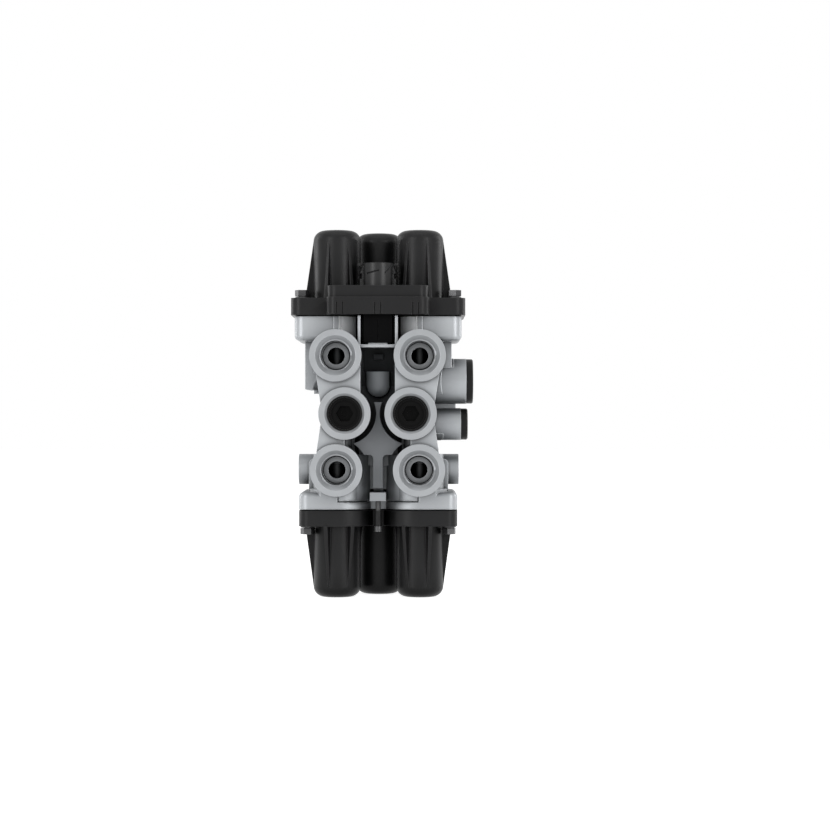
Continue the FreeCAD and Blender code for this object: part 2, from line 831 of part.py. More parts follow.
def cover_screw_holes(side, low_z, high_z):
    """Clearance holes through the flange of one cover."""
    return [
        rod(f"{side}_clearance_{number}", UP, (x, y, low_z), "screw_shank_radius + screw_hole_gap",
            f"({high_z}) - ({low_z})")
        for number, (x, y) in enumerate(screw_places(side), start=1)
    ]


def upper_cover():
    """Upper cover: flange, front tongue with a raised tier, domes and ribs."""
    low_z = "body_top_z + gasket_thickness"
    flange = slab("upper_plate", rectangle("-upper_cover_half", "upper_cover_half", "upper_cover_front_y",
                                           "cover_rear_y"),
                  f"upper_cover_top_z - ({low_z})", ("0", "0", low_z), UP, corner="cover_corner")
    tongue = slab("tongue", rectangle("-tongue_half", "tongue_half", "tongue_face_y", "bore_y"),
                  f"upper_cover_top_z - ({low_z})", ("0", "0", low_z), UP, corner="tongue_corner")
    tier = slab("tier", rectangle("-tier_half", "tier_half", "tier_face_y", "tier_rear_y"),
                f"tier_top_z - ({low_z})", ("0", "0", low_z), UP, corner="tongue_corner")
    hollows = dome_hollows("upper")
    hollows += cover_screw_holes("upper", "body_top_z", "tier_top_z")
    for name, sign in (("left", "-"), ("right", "")):
        inner = f"{sign}(recess_half + cheek_thickness)"
        outer = f"{sign}(tongue_half - tongue_wall)"
        across = (inner, outer) if not sign else (outer, inner)
        hollows.append(block(f"{name}_tongue_hollow", across,
                             ("tongue_face_y + tongue_wall", "tongue_hollow_rear_y"),
                             ("body_top_z", "upper_cover_top_z - tongue_wall")))
    for number, x in enumerate(("-notch_pitch_x", "0", "notch_pitch_x"), start=1):
        for hand, sign in (("left", "-"), ("right", "+")):
            middle = f"{x} {sign} notch_half"
            hollows.append(block(f"notch_{number}_{hand}",
                                 (f"{middle} - notch_width / 2", f"{middle} + notch_width / 2"),
                                 ("tongue_face_y - casting_lap", "tongue_face_y + notch_depth"),
                                 ("body_top_z", f"{low_z} + notch_height")))
    solid = joined("upper_cover_solid", [flange, tongue, tier] + dome_solids("upper"))
    piece(carved("upper_cover", solid, hollows), "upper_cover")


def lower_cover():
    """Lower cover: flange with a lobed front, domes and ribs."""
    high_z = "body_base_z - gasket_thickness"
    flange = slab("lower_plate", rectangle("-lower_cover_half", "lower_cover_half", "lower_cover_front_y",
                                           "cover_rear_y"),
                  f"{high_z} - lower_cover_low_z", ("0", "0", "lower_cover_low_z"), UP, corner="cover_corner")
    front = lower_front("cover", "0", "lower_cover_low_z", high_z)
    hollows = dome_hollows("lower")
    hollows += cover_screw_holes("lower", "lower_cover_low_z - casting_lap", "body_base_z")
    hollows.append(rod("centre_slot", UP, ("0", "valley_face_y", "lower_cover_low_z - casting_lap"),
                       "centre_shank_radius + screw_hole_gap",
                       "body_base_z - lower_cover_low_z + casting_lap"))
    solid = joined("lower_cover_solid", [flange] + front + dome_solids("lower"))
    piece(carved("lower_cover", solid, hollows), "lower_cover")


def gasket(side):
    """Flat rubber gasket of one joint, open at the bores, the screws and the front gap."""
    upper = side == "upper"
    low_z = "body_top_z" if upper else "body_base_z - gasket_thickness"
    half = f"{'top' if upper else 'base'}_flange_half - gasket_inset"
    sheet_part = slab(f"{side}_gasket_sheet",
                      rectangle(f"-({half})", half, "flange_front_y + gasket_inset",
                                "flange_rear_y - gasket_inset"),
                      "gasket_thickness", ("0", "0", low_z), UP, corner="flange_corner")
    gap_half = "recess_half + gasket_inset" if upper else "nib_half + gasket_inset"
    gap_rear = "recess_floor_y" if upper else "valley_face_y + centre_shank_radius + gasket_inset"
    below = f"{low_z} - casting_lap"
    through = "gasket_thickness + 2 * casting_lap"
    openings = [block(f"{side}_gasket_gap", (f"-({gap_half})", gap_half),
                      ("flange_front_y", gap_rear), (below, f"{low_z} + casting_lap"))]
    for name, x, y, _ in (station for station in STATIONS if station[3] == side):
        openings.append(rod(f"{name}_gasket_bore", UP, (x, y, below), "dome_bore + gasket_bore_gap", through))
    for number, (x, y) in enumerate(screw_places(side), start=1):
        openings.append(rod(f"{side}_gasket_hole_{number}", UP, (x, y, below),
                            "screw_shank_radius + screw_hole_gap", through))
    piece(carved(f"{side}_gasket_body", sheet_part, openings), f"{side}_gasket")


def cover_screws(side):
    """Hexagon-head cover screws of one side, as a group of separate solids."""
    upper = side == "upper"
    bearing = "upper_cover_top_z" if upper else "lower_cover_low_z"
    sign = 1 if upper else -1
    heading = UP if upper else DOWN
    screws = []
    for number, (x, y) in enumerate(screw_places(side), start=1):
        name = f"{side}_screw_{number}"
        head = document.addObject("Part::Prism", name + "_head")
        head.Polygon = 6
        bind(head, Circumradius="screw_flat_radius", Height="screw_head_height")
        place(head, x, y, f"{bearing} + {sign} * screw_flange_height", heading)
        flange = rod(name + "_flange", heading, (x, y, bearing), "screw_flange_radius", "screw_flange_height")
        shank = rod(name + "_shank", heading, (x, y, f"{bearing} - {sign} * screw_length"),
                    "screw_shank_radius", "screw_length")
        screws.append(joined(name, [head, flange, shank]))
    piece(grouped(f"{side}_cover_screws", screws), f"{side}_cover_screws")


def centre_screw():
    """Slim screw in the valley of the lower joint."""
    low_z = "lower_cover_low_z"
    points = (
        ("0", f"{low_z} - centre_head_height"),
        ("centre_head_radius", f"{low_z} - centre_head_height"),
        ("centre_head_radius", low_z),
        ("centre_shank_radius", low_z),
        ("centre_shank_radius", "centre_screw_tip_z"),
        ("0", "centre_screw_tip_z"),
    )
    piece(turned("centre_screw", points, ("0", "valley_face_y", "0")), "centre_screw")


def valve_station(name, x, y, side):
    """Moving and fixed pieces under one dome, heights measured from the seat."""
    sign = SIGNS[side]
    seat = (x, y, f"{sign}seat_z")
    heading = HEADINGS[side]
    disc = (("0", "0"), ("disc_radius", "0"), ("disc_radius", "disc_thickness"), ("0", "disc_thickness"))
    piece(turned(f"{name}_disc", disc, seat, heading), f"{name}_valve_disc")

    holder = "disc_radius + holder_lip"
    rim = "chamber_radius - head_clearance"
    top = "disc_thickness + holder_height"
    piston = (
        ("0", "disc_thickness"),
        (holder, "disc_thickness"),
        (holder, top),
        ("stem_radius", top),
        ("stem_radius", "head_low"),
        (rim, "head_low"),
        (rim, "seal_low"),
        ("seal_groove_radius", "seal_low"),
        ("seal_groove_radius", "seal_high"),
        (rim, "seal_high"),
        (rim, "head_high"),
        ("spigot_radius", "head_high"),
        ("spigot_radius", "head_high + spigot_height"),
        ("piston_hollow_radius", "head_high + spigot_height"),
        ("piston_hollow_radius", "head_high + spigot_height - piston_hollow_depth"),
        ("0", "head_high + spigot_height - piston_hollow_depth"),
    )
    piece(turned(f"{name}_slider", piston, seat, heading), f"{name}_piston")

    ring = (
        ("seal_groove_radius", "seal_low"),
        ("chamber_radius - seal_clearance", "seal_low"),
        ("chamber_radius - seal_clearance", "seal_high"),
        ("seal_groove_radius", "seal_high"),
    )
    piece(turned(f"{name}_ring", ring, seat, heading), f"{name}_piston_seal")

    ceiling = "dome_top_z - dome_ceiling - seat_z"
    plate = (
        ("0", f"{ceiling} - plate_thickness - spigot_height"),
        ("spigot_radius", f"{ceiling} - plate_thickness - spigot_height"),
        ("spigot_radius", f"{ceiling} - plate_thickness"),
        ("dome_bore - plate_clearance", f"{ceiling} - plate_thickness"),
        ("dome_bore - plate_clearance", ceiling),
        ("0", ceiling),
    )
    piece(turned(f"{name}_plate", plate, seat, heading), f"{name}_spring_plate")

    span = f"({ceiling} - plate_thickness - head_high - 2 * wire_radius)"
    helix = document.addObject("Part::Helix", f"{name}_helix")
    bind(helix, Pitch=f"{span} / spring_turns", Height=span, Radius="spring_radius")
    wire = document.addObject("Part::RegularPolygon", f"{name}_wire")
    wire.Polygon = 6
    bind(wire, Circumradius="wire_radius")
    place(wire, "spring_radius", "0", "0", FRONTWARD)
    spring = document.addObject("Part::Sweep", f"{name}_coil")
    spring.Sections = [wire]
    spring.Spine = (helix, [])
    spring.Solid = True
    spring.Frenet = True
    place(spring, x, y, f"{sign}(seat_z + head_high + wire_radius)", heading)
    piece(spring, f"{name}_spring")


def port_plug(hand, sign):
    """Hexagon-socket plug of one middle port with its sealing ring."""
    centre = (f"{sign}port_mid_x", "port_face_y", "0")
    body_radius = "port_thread_radius - plug_gap"
    points = (
        ("0", "-plug_face_depth - plug_length"),
        (body_radius, "-plug_face_depth - plug_length"),
        (body_radius, "-plug_face_depth"),
        ("plug_dish_radius", "-plug_face_depth"),
        ("plug_dish_radius", "-plug_face_depth - plug_dish_depth"),
        ("0", "-plug_face_depth - plug_dish_depth"),
    )
    blank = turned(f"{hand}_plug_blank", points, centre, FRONTWARD)
    hexagon = document.addObject("Part::Prism", f"{hand}_plug_hexagon")
    hexagon.Polygon = 6
    bind(hexagon, Circumradius="plug_hex_radius", Height="plug_hex_depth")
    floor_depth = "plug_face_depth + plug_dish_depth + plug_hex_depth"
    place(hexagon, f"{sign}port_mid_x", f"port_face_y + {floor_depth}", "0", FRONTWARD)
    dimple = rod(f"{hand}_plug_dimple", FRONTWARD,
                 (f"{sign}port_mid_x", f"port_face_y + {floor_depth} + plug_centre_depth", "0"),
                 "plug_centre_radius", "plug_centre_depth + plug_hex_depth")
    piece(carved(f"{hand}_plug_body", blank, [hexagon, dimple]), f"{hand}_port_plug")

    inner = "port_thread_radius - plug_gap + plug_seal_gap / 2"
    outer = "port_mouth_radius - plug_seal_start - 2 * plug_seal_gap"
    ring = (
        (inner, "-plug_seal_start"),
        (inner, "-plug_seal_start - plug_seal_width"),
        (f"{outer} - plug_seal_width", "-plug_seal_start - plug_seal_width"),
        (outer, "-plug_seal_start"),
    )
    piece(turned(f"{hand}_plug_ring", ring, centre, FRONTWARD), f"{hand}_plug_seal")


def port_cap(name, face, level, boss_radius, thread_radius):
    """Push-in cap of a side port: a disc with a rounded rim and a hollow plug."""
    radius = f"{boss_radius} - cap_undersize"
    plug_radius = f"{thread_radius} - cap_plug_gap"
    points = (
        ("0", "0"),
        (f"{plug_radius} - cap_plug_wall", "0"),
        (f"{plug_radius} - cap_plug_wall", "-cap_plug_length"),
        (plug_radius, "-cap_plug_length"),
        (plug_radius, "0"),
        (radius, "0"),
        (radius, "cap_thickness"),
        ("0", "cap_thickness"),
    )
    body = turned(f"{name}_disc_body", points, (face, "side_port_y", level), RIGHT)
    rounded(body, body.Tip, at_height(value("cap_thickness")), "cap_round")
    piece(body, name)


def sensor_module():
    """Black sensor housing under the tongue, with a seam down its front."""
    height = "body_top_z + gasket_thickness - module_low_z"
    housing = slab("module_block", rectangle("-module_half", "module_half", "module_face_y",
                                             "recess_floor_y - casting_lap"),
                   height, ("0", "0", "module_low_z"), UP, corner="module_corner")
    seam = block("module_seam", ("-module_seam_half", "module_seam_half"),
                 ("module_face_y - casting_lap", "module_face_y + module_seam_depth"),
                 ("module_low_z", "body_top_z - casting_lap"))
    piece(carved("module", housing, [seam]), "sensor_module")


def sensor_connector():
    """Round bayonet connector on the tier: collar, open barrel, lugs and ramps."""
    top = "connector_height"
    cup = (
        ("0", "0"),
        ("collar_radius", "0"),
        ("collar_radius", "collar_height"),
        ("connector_radius", "collar_height"),
        ("connector_radius", top),
        ("connector_bore", top),
        ("connector_bore", "connector_floor"),
        ("0", "connector_floor"),
    )
    centre = ("0", "connector_y", "tier_top_z")
    parts = [turned("connector_cup", cup, centre)]
    sweep = value("bayonet_half_angle")
    for number, middle in enumerate((0, 120, 240), start=1):
        lug = document.addObject("Part::Cylinder", f"bayonet_lug_{number}")
        lug.Placement = Placement(Vector(), Rotation(Vector(0, 0, 1), middle - sweep))
        bind(lug, Radius="lug_reach", Height="bayonet_height", Angle="2 * bayonet_half_angle")
        for name, text in zip("xyz", ("0", "connector_y", "tier_top_z + connector_height - bayonet_height")):
            lug.setExpression(f"Placement.Base.{name}", formula(text))
        step = document.addObject("Part::Cylinder", f"bayonet_step_{number}")
        step.Placement = Placement(Vector(), Rotation(Vector(0, 0, 1), middle + sweep))
        bind(step, Radius="connector_radius + bayonet_ramp / 2", Height="bayonet_ramp",
             Angle="3 * bayonet_half_angle")
        drop = "tier_top_z + connector_height - bayonet_height - bayonet_drop"
        for name, text in zip("xyz", ("0", "connector_y", drop)):
            step.setExpression(f"Placement.Base.{name}", formula(text))
        parts += [lug, step]
    socket = rod("connector_socket", UP, ("0", "connector_y", "tier_top_z + connector_floor"),
                 "connector_bore", "connector_height")
    ways = []
    for number in range(4):
        ways.append(pin_rod(f"pin_way_{number + 1}", number, "connector_floor - pin_tail",
                            "pin_tail + casting_lap"))
    piece(carved("connector", joined("connector_solid", parts), [socket] + ways), "sensor_connector")


def pin_rod(name, number, foot, length):
    """Rod on the pin circle of the connector, standing a given height above the tier."""
    across = ("pin_circle_radius", "-pin_circle_radius", "0", "0")[number]
    along = ("0", "0", "pin_circle_radius", "-pin_circle_radius")[number]
    centre = (across, f"connector_y + {along}", f"tier_top_z + {foot}")
    return rod(name, UP, centre, "pin_radius", length)


def connector_pins():
    """Four contact pins, as a group of separate solids."""
    pins = [pin_rod(f"pin_{number + 1}", number, "connector_floor - pin_tail", "pin_tail + pin_height")
            for number in range(4)]
    piece(grouped("pins", pins), "connector_pins")


valve_body()
upper_cover()
lower_cover()
for joint_side in ("upper", "lower"):
    gasket(joint_side)
    cover_screws(joint_side)
centre_screw()
for station_name, station_x, station_y, station_side in STATIONS:
    valve_station(station_name, station_x, station_y, station_side)
for plug_hand, plug_sign in (("left", "-"), ("right", "")):
    port_plug(plug_hand, plug_sign)
port_cap("supply_port_cap", "supply_face", "supply_z", "supply_boss_radius", "supply_thread_radius")
port_cap("auxiliary_port_cap", "aux_face", "aux_z", "aux_boss_radius", "aux_thread_radius")
sensor_module()
sensor_connector()
connector_pins()
document.recompute()

for feature in document.Objects:
    if "Invalid" in feature.State or "Error" in feature.State:
        raise RuntimeError(f"{feature.Name} failed: {feature.State}")
os.makedirs("parts", exist_ok=True)
for finished in pieces:
    shape = finished.Shape
    if shape.isNull() or not shape.isValid():
        raise RuntimeError(f"{finished.Label} has no valid shape")
for finished in pieces:
    finished.Shape.exportStep(f"parts/{finished.Label}.step")
    print(finished.Label, len(finished.Shape.Solids), round(finished.Shape.Volume, 1))
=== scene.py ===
"""Looks of a four-circuit protection valve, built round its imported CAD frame."""

import logging
import math
from dataclasses import dataclass, field, replace
from enum import Enum

import bmesh
import bpy
from mathutils import Euler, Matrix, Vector


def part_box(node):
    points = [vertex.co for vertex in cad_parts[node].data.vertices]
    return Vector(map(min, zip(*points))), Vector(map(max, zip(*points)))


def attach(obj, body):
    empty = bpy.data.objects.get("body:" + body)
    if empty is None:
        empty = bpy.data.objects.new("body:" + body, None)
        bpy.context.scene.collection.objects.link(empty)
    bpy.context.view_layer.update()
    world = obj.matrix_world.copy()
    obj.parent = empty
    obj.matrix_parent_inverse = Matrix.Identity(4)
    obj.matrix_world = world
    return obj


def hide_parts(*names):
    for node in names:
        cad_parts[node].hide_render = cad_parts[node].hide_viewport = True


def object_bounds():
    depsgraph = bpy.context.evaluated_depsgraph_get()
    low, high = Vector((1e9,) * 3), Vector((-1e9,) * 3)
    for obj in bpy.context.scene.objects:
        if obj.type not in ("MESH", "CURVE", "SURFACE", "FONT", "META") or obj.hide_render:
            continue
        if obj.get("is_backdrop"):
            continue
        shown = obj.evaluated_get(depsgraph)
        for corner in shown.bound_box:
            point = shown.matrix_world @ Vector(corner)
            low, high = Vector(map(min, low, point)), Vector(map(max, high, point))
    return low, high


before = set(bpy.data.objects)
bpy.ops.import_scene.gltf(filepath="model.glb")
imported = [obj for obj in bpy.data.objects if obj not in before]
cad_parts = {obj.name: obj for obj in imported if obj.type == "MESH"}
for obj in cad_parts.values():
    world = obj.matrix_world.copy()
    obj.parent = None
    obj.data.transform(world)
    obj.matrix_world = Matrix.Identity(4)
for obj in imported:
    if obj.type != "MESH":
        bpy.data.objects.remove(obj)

MM = 0.001
HOUSING = "valve_housing"
Colour = tuple[float, float, float]
Place = tuple[float, float, float]
Span = tuple[float, float]

log = logging.getLogger("protection_valve")


class Side(Enum):
    """The two ends of the valve, each with its cover and three stations."""

    UPPER = 1
    LOWER = -1

    @property
    def word(self) -> str:
        """Name of the side as the frame's nodes spell it."""
        return self.name.lower()


class Heading(Enum):
    """Ways that a turned piece can face, as Euler angles that bring +Z there."""

    UP = (0.0, 0.0, 0.0)
    DOWN = (math.pi, 0.0, 0.0)
    FRONT = (math.pi / 2, 0.0, 0.0)
    REAR = (-math.pi / 2, 0.0, 0.0)
    LEFT = (0.0, -math.pi / 2, 0.0)
    RIGHT = (0.0, math.pi / 2, 0.0)


class Texture(Enum):
    """Fine relief of a finish."""

    CAST = "cast"
    MOULDED = "moulded"
    TURNED = "turned"


class NodeGraph:
    """Short way to add nodes to one tree and wire them."""

    def __init__(self, tree: bpy.types.NodeTree) -> None:
        """Start on a tree.

        Args:
            tree: Shader or geometry tree that takes the nodes.
        """
        self.tree = tree

    def add(self, kind: str, inputs: dict | None = None, **settings: object) -> bpy.types.Node:
        """Add a node.

        Args:
            kind: Blender's type name of the node.
            inputs: Socket name or number to a value or to another node's output.
            **settings: Properties of the node itself.

        Returns:
            The new node.
        """
        node = self.tree.nodes.new(kind)
        for name, setting in settings.items():
            setattr(node, name, setting)
        for key, source in (inputs or {}).items():
            self.feed(node.inputs[key], source)
        return node

    def feed(self, socket: bpy.types.NodeSocket, source: object) -> None:
        """Link an output to a socket, or set the socket's own value."""
        if isinstance(source, bpy.types.NodeSocket):
            self.tree.links.new(source, socket)
        else:
            socket.default_value = source

    def maths(self, operation: str, first: object, second: object = 0.0, clamp: bool = False) -> object:
        """Add a Math node.

        Args:
            operation: Blender's name of the operation.
            first: First value or output.
            second: Second value or output.
            clamp: Whether the result is kept from 0 to 1.

        Returns:
            The node's output socket.
        """
        kind = "ShaderNodeMath"
        node = self.add(kind, {0: first, 1: second}, operation=operation, use_clamp=clamp)
        return node.outputs[0]

    def blend(self, share: object, first: object, second: object, way: str = "MIX") -> object:
        """Add a colour Mix node.

        Args:
            share: Factor, 0 for the first colour and 1 for the second.
            first: First colour or output.
            second: Second colour or output.
            way: Blender's name of the blending.

        Returns:
            The node's colour output.
        """
        node = self.add("ShaderNodeMix", data_type="RGBA", blend_type=way)
        self.feed(node.inputs[0], share)
        self.feed(node.inputs[6], first)
        self.feed(node.inputs[7], second)
        return node.outputs[2]


def opaque(colour: Colour, gain: float = 1.0) -> tuple[float, float, float, float]:
    """A colour with full alpha, made lighter or darker by a gain."""
    return (*(min(1.0, part * gain) for part in colour), 1.0)


class Effects:
    """Shader node groups that several finishes share, each built once."""

    def __init__(self) -> None:
        """Build every group."""
        self.grain = self._grain()
        self.edges = self._edges()
        self.crevices = self._crevices()
        self.turning = self._turning()
        self.tone = self._tone()

    @staticmethod
    def _group(name: str, inputs: dict[str, tuple[str, object]], outputs: dict[str, str]) -> NodeGraph:
        """Start a shader group.

        Args:
            name: Name of the group.
            inputs: Input name to its socket kind and default.
            outputs: Output name to its socket kind.

        Returns:
            A graph on the new group, with its two interface nodes added.
        """
        tree = bpy.data.node_groups.new(name, "ShaderNodeTree")
        for label, (kind, default) in inputs.items():
            socket = tree.interface.new_socket(label, in_out="INPUT", socket_type="NodeSocket" + kind)
            if default is not None:
                socket.default_value = default
        for label, kind in outputs.items():
            tree.interface.new_socket(label, in_out="OUTPUT", socket_type="NodeSocket" + kind)
        graph = NodeGraph(tree)
        graph.source = graph.add("NodeGroupInput").outputs
        graph.sink = graph.add("NodeGroupOutput").inputs
        return graph

    def _grain(self) -> bpy.types.NodeTree:
        """Fine grains on a slow mottle.

        Returns:
            Group with the outputs Height and Mottle.
        """
        graph = self._group(
            "surface_grain",
            {"Size": ("Float", 0.0005), "Spread": ("Float", 0.012)},
            {"Height": "Float", "Mottle": "Float"},
        )
        place = graph.add("ShaderNodeTexCoord").outputs["Object"]
        fine = graph.maths("DIVIDE", 1.0, graph.source["Size"])
        slow = graph.maths("DIVIDE", 1.0, graph.source["Spread"])
        grains, mottle = (
            graph.add(
                "ShaderNodeTexNoise", {"Vector": place, "Scale": scale, "Detail": detail, "Roughness": rough}
            )
            for scale, detail, rough in ((fine, 2.0, 0.6), (slow, 3.0, 0.5))
        )
        graph.feed(graph.sink["Height"], grains.outputs["Fac"])
        graph.feed(graph.sink["Mottle"], mottle.outputs["Fac"])
        return graph.tree

    def _edges(self) -> bpy.types.NodeTree:
        """Rounded normal along edges, and a mask that is 1 on outer edges.

        Returns:
            Group with the outputs Normal and Edge.
        """
        graph = self._group(
            "rounded_edges", {"Radius": ("Float", 0.0005)}, {"Normal": "Vector", "Edge": "Float"}
        )
        bevel = graph.add("ShaderNodeBevel", {"Radius": graph.source["Radius"]}, samples=6)
        shape = graph.add("ShaderNodeNewGeometry")
        turn = graph.add(
            "ShaderNodeVectorMath", {0: bevel.outputs["Normal"], 1: shape.outputs["Normal"]},
            operation="DOT_PRODUCT",
        )
        edge = graph.add(
            "ShaderNodeMapRange",
            {
                "Value": turn.outputs["Value"], "From Min": 0.995, "From Max": 0.90, "To Min": 0.0,
                "To Max": 1.0,
            },
        )
        graph.feed(graph.sink["Normal"], bevel.outputs["Normal"])
        graph.feed(graph.sink["Edge"], edge.outputs["Result"])
        return graph.tree

    def _crevices(self) -> bpy.types.NodeTree:
        """Mask of how open a place is, 0 deep in a recess or along the line of an inner corner, from which
        the finishes paint shade.

        Returns:
            Group with the output Open.
        """
        graph = self._group(
            "crevices",
            {"Reach": ("Float", 0.02), "Depth": ("Float", 1.0), "Line": ("Float", 0.002),
             "Line Depth": ("Float", 1.0)},
            {"Open": "Float"},
        )
        source = graph.source
        wide = graph.add("ShaderNodeAmbientOcclusion", {"Distance": source["Reach"]}, samples=8)
        fine = graph.add("ShaderNodeAmbientOcclusion", {"Distance": source["Line"]}, samples=8)
        wide = graph.maths("POWER", wide.outputs["AO"], source["Depth"])
        fine = graph.maths("POWER", fine.outputs["AO"], source["Line Depth"])
        graph.feed(graph.sink["Open"], graph.maths("MULTIPLY", wide, fine))
        return graph.tree

    def _turning(self) -> bpy.types.NodeTree:
        """Fine rings left by a cutter, read from the radius stored on the mesh.

        Returns:
            Group with the output Height.
        """
        graph = self._group("turning_marks", {"Pitch": ("Float", 0.0004)}, {"Height": "Float"})
        radius = graph.add("ShaderNodeAttribute", attribute_name="turn_radius").outputs["Fac"]
        count = graph.maths("DIVIDE", radius, graph.source["Pitch"])
        rings = graph.add(
            "ShaderNodeTexNoise", {"W": count, "Scale": 1.0, "Detail": 2.0}, noise_dimensions="1D"
        )
        graph.feed(graph.sink["Height"], rings.outputs["Fac"])
        return graph.tree

    def _tone(self) -> bpy.types.NodeTree:
        """Colour with painted shade in crevices and recesses, edges lighter from wear and a painted
        highlight, mottled between.

        Returns:
            Group with the output Colour.
        """
        graph = self._group(
            "painted_shade_tone",
            {
                "Plain": ("Color", None),
                "Painted Shade": ("Color", None),
                "Edge Wear And Highlight": ("Color", None),
                "Open": ("Float", 1.0),
                "Edge": ("Float", 0.0),
                "Mottle": ("Float", 0.5),
                "Variation": ("Float", 0.1),
            },
            {"Colour": "Color"},
        )
        source = graph.source
        swing = graph.maths("SUBTRACT", source["Mottle"], 0.5)
        swing = graph.maths("MULTIPLY", swing, source["Variation"])
        gain = graph.maths("ADD", 1.0, swing)
        gains = graph.add("ShaderNodeCombineColor", {0: gain, 1: gain, 2: gain}).outputs[0]
        plain = graph.blend(1.0, source["Plain"], gains, "MULTIPLY")
        # Painted shade: where the place is closed in, the colour goes towards the darker crevice colour.
        shaded = graph.blend(source["Open"], source["Painted Shade"], plain)
        # Edges go towards the lighter colour, which stands for wear and a painted highlight.
        graph.feed(graph.sink["Colour"], graph.blend(source["Edge"], shaded, source["Edge Wear And Highlight"]))
        return graph.tree


@dataclass(frozen=True)
class Finish:
    """One procedural finish of the valve.

    Lengths are in metres. Shares are from 0 to 1.
    """

    name: str
    colour: Colour
    roughness: float
    texture: Texture
    metallic: float = 0.0
    specular: float = 0.5
    # The crevice and line sizes set painted shade in recesses and along inner corners; edge_gain lightens
    # edges for wear and a painted highlight.
    crevice_gain: float = 0.1
    crevice_reach: float = 10 * MM
    crevice_depth: float = 1.0
    line_reach: float = 1.5 * MM
    line_depth: float = 0.5
    edge_gain: float = 1.25
    edge_radius: float = 0.5 * MM
    grain_size: float = 0.5 * MM
    grain_depth: float = 0.05 * MM
    mottle_size: float = 14 * MM
    variation: float = 0.12
    roughness_swing: float = 0.08

    def build(self, effects: Effects) -> bpy.types.Material:
        """Make the material.

        Args:
            effects: The shared shader groups.

        Returns:
            The finished material.
        """
        material = bpy.data.materials.new(self.name)
        material.use_nodes = True
        material.node_tree.nodes.clear()
        graph = NodeGraph(material.node_tree)
        grain = graph.add(
            "ShaderNodeGroup", {"Size": self.grain_size, "Spread": self.mottle_size}, node_tree=effects.grain
        )
        edges = graph.add("ShaderNodeGroup", {"Radius": self.edge_radius}, node_tree=effects.edges)
        crevices = graph.add(
            "ShaderNodeGroup",
            {
                "Reach": self.crevice_reach,
                "Depth": self.crevice_depth,
                "Line": self.line_reach,
                "Line Depth": self.line_depth,
            },
            node_tree=effects.crevices,
        )
        # Painted shade darkens the colour where the crevice mask closes in, and edges turn lighter for wear
        # and a painted highlight.
        tone = graph.add(
            "ShaderNodeGroup",
            {
                "Plain": opaque(self.colour),
                "Painted Shade": opaque(self.colour, self.crevice_gain),
                "Edge Wear And Highlight": opaque(self.colour, self.edge_gain),
                "Open": crevices.outputs["Open"],
                "Edge": edges.outputs["Edge"],
                "Mottle": grain.outputs["Mottle"],
                "Variation": self.variation,
            },
            node_tree=effects.tone,
        )
        gloss = graph.add(
            "ShaderNodeMapRange",
            {
                "Value": grain.outputs["Mottle"],
                "To Min": self.roughness - self.roughness_swing,
                "To Max": self.roughness + self.roughness_swing,
            },
        )
        relief = graph.add(
            "ShaderNodeBump",
            {
                "Strength": 1.0,
                "Distance": self.grain_depth,
                "Height": self._height(graph, grain, effects),
                "Normal": edges.outputs["Normal"],
            },
        )
        shader = graph.add(
            "ShaderNodeBsdfPrincipled",
            {
                "Base Color": tone.outputs["Colour"],
                "Roughness": gloss.outputs["Result"],
                "Normal": relief.outputs["Normal"],
                "Metallic": self.metallic,
                "Specular IOR Level": self.specular,
            },
        )
        graph.add("ShaderNodeOutputMaterial", {"Surface": shader.outputs[0]})
        return material

    def _height(self, graph: NodeGraph, grain: bpy.types.Node, effects: Effects) -> object:
        """Pick the relief of the texture.

        Args:
            graph: Graph of the material.
            grain: The placed grain group.
            effects: The shared shader groups.

        Returns:
            Output socket of the height.
        """
        if self.texture is not Texture.TURNED:
            return grain.outputs["Height"]
        turning = graph.add("ShaderNodeGroup", {"Pitch": self.grain_size}, node_tree=effects.turning)
        return turning.outputs["Height"]


# Darker copy of the cast alloy: painted shade on the star and its stem in the recess between the ports.
LAND_SHADE_ALLOY = Finish(
    "land_painted_shade", (0.142, 0.149, 0.157), 0.5, Texture.CAST, metallic=0.6, crevice_gain=0.05,
    crevice_reach=10 * MM, crevice_depth=0.5, line_reach=2.0 * MM, line_depth=1.0, edge_gain=1.3,
    edge_radius=0.5 * MM, grain_size=0.45 * MM, grain_depth=0.035 * MM,
)
# Its crevice settings paint shade in the recesses between the port bosses.
CAST_ALLOY = replace(
    LAND_SHADE_ALLOY, name="cast_alloy", colour=(0.385, 0.4, 0.415), roughness=0.45, metallic=0.75,
    crevice_gain=0.03, crevice_reach=18 * MM, crevice_depth=0.8, line_reach=2.2 * MM, edge_gain=1.35,
    edge_radius=0.6 * MM,
)
# Darker copy of the cast alloy: painted shade on the valley walls, the pad and the sides of the recess.
VALLEY_SHADE_ALLOY = replace(
    LAND_SHADE_ALLOY, name="valley_painted_shade", colour=(0.29, 0.303, 0.317), metallic=0.2, crevice_gain=0.3,
    crevice_reach=8 * MM, crevice_depth=0.3,
)
# Much lighter, less metallic copy of the cast alloy: painted light on the columns under the upper cover.
COLUMN_LIT_ALLOY = replace(
    LAND_SHADE_ALLOY, name="column_painted_light", colour=(0.9, 0.915, 0.93), roughness=0.4, metallic=0.1,
    crevice_gain=0.4, crevice_reach=6 * MM, crevice_depth=0.4, edge_gain=1.2,
)
# Near-black copy of the cast alloy: painted shade on the deep recess round the star.
RECESS_SHADE_ALLOY = replace(
    LAND_SHADE_ALLOY, name="recess_painted_shade", colour=(0.045, 0.049, 0.054), roughness=0.6, metallic=0.5,
    crevice_gain=0.1, crevice_reach=14 * MM, crevice_depth=1.0, line_depth=0.5,
)
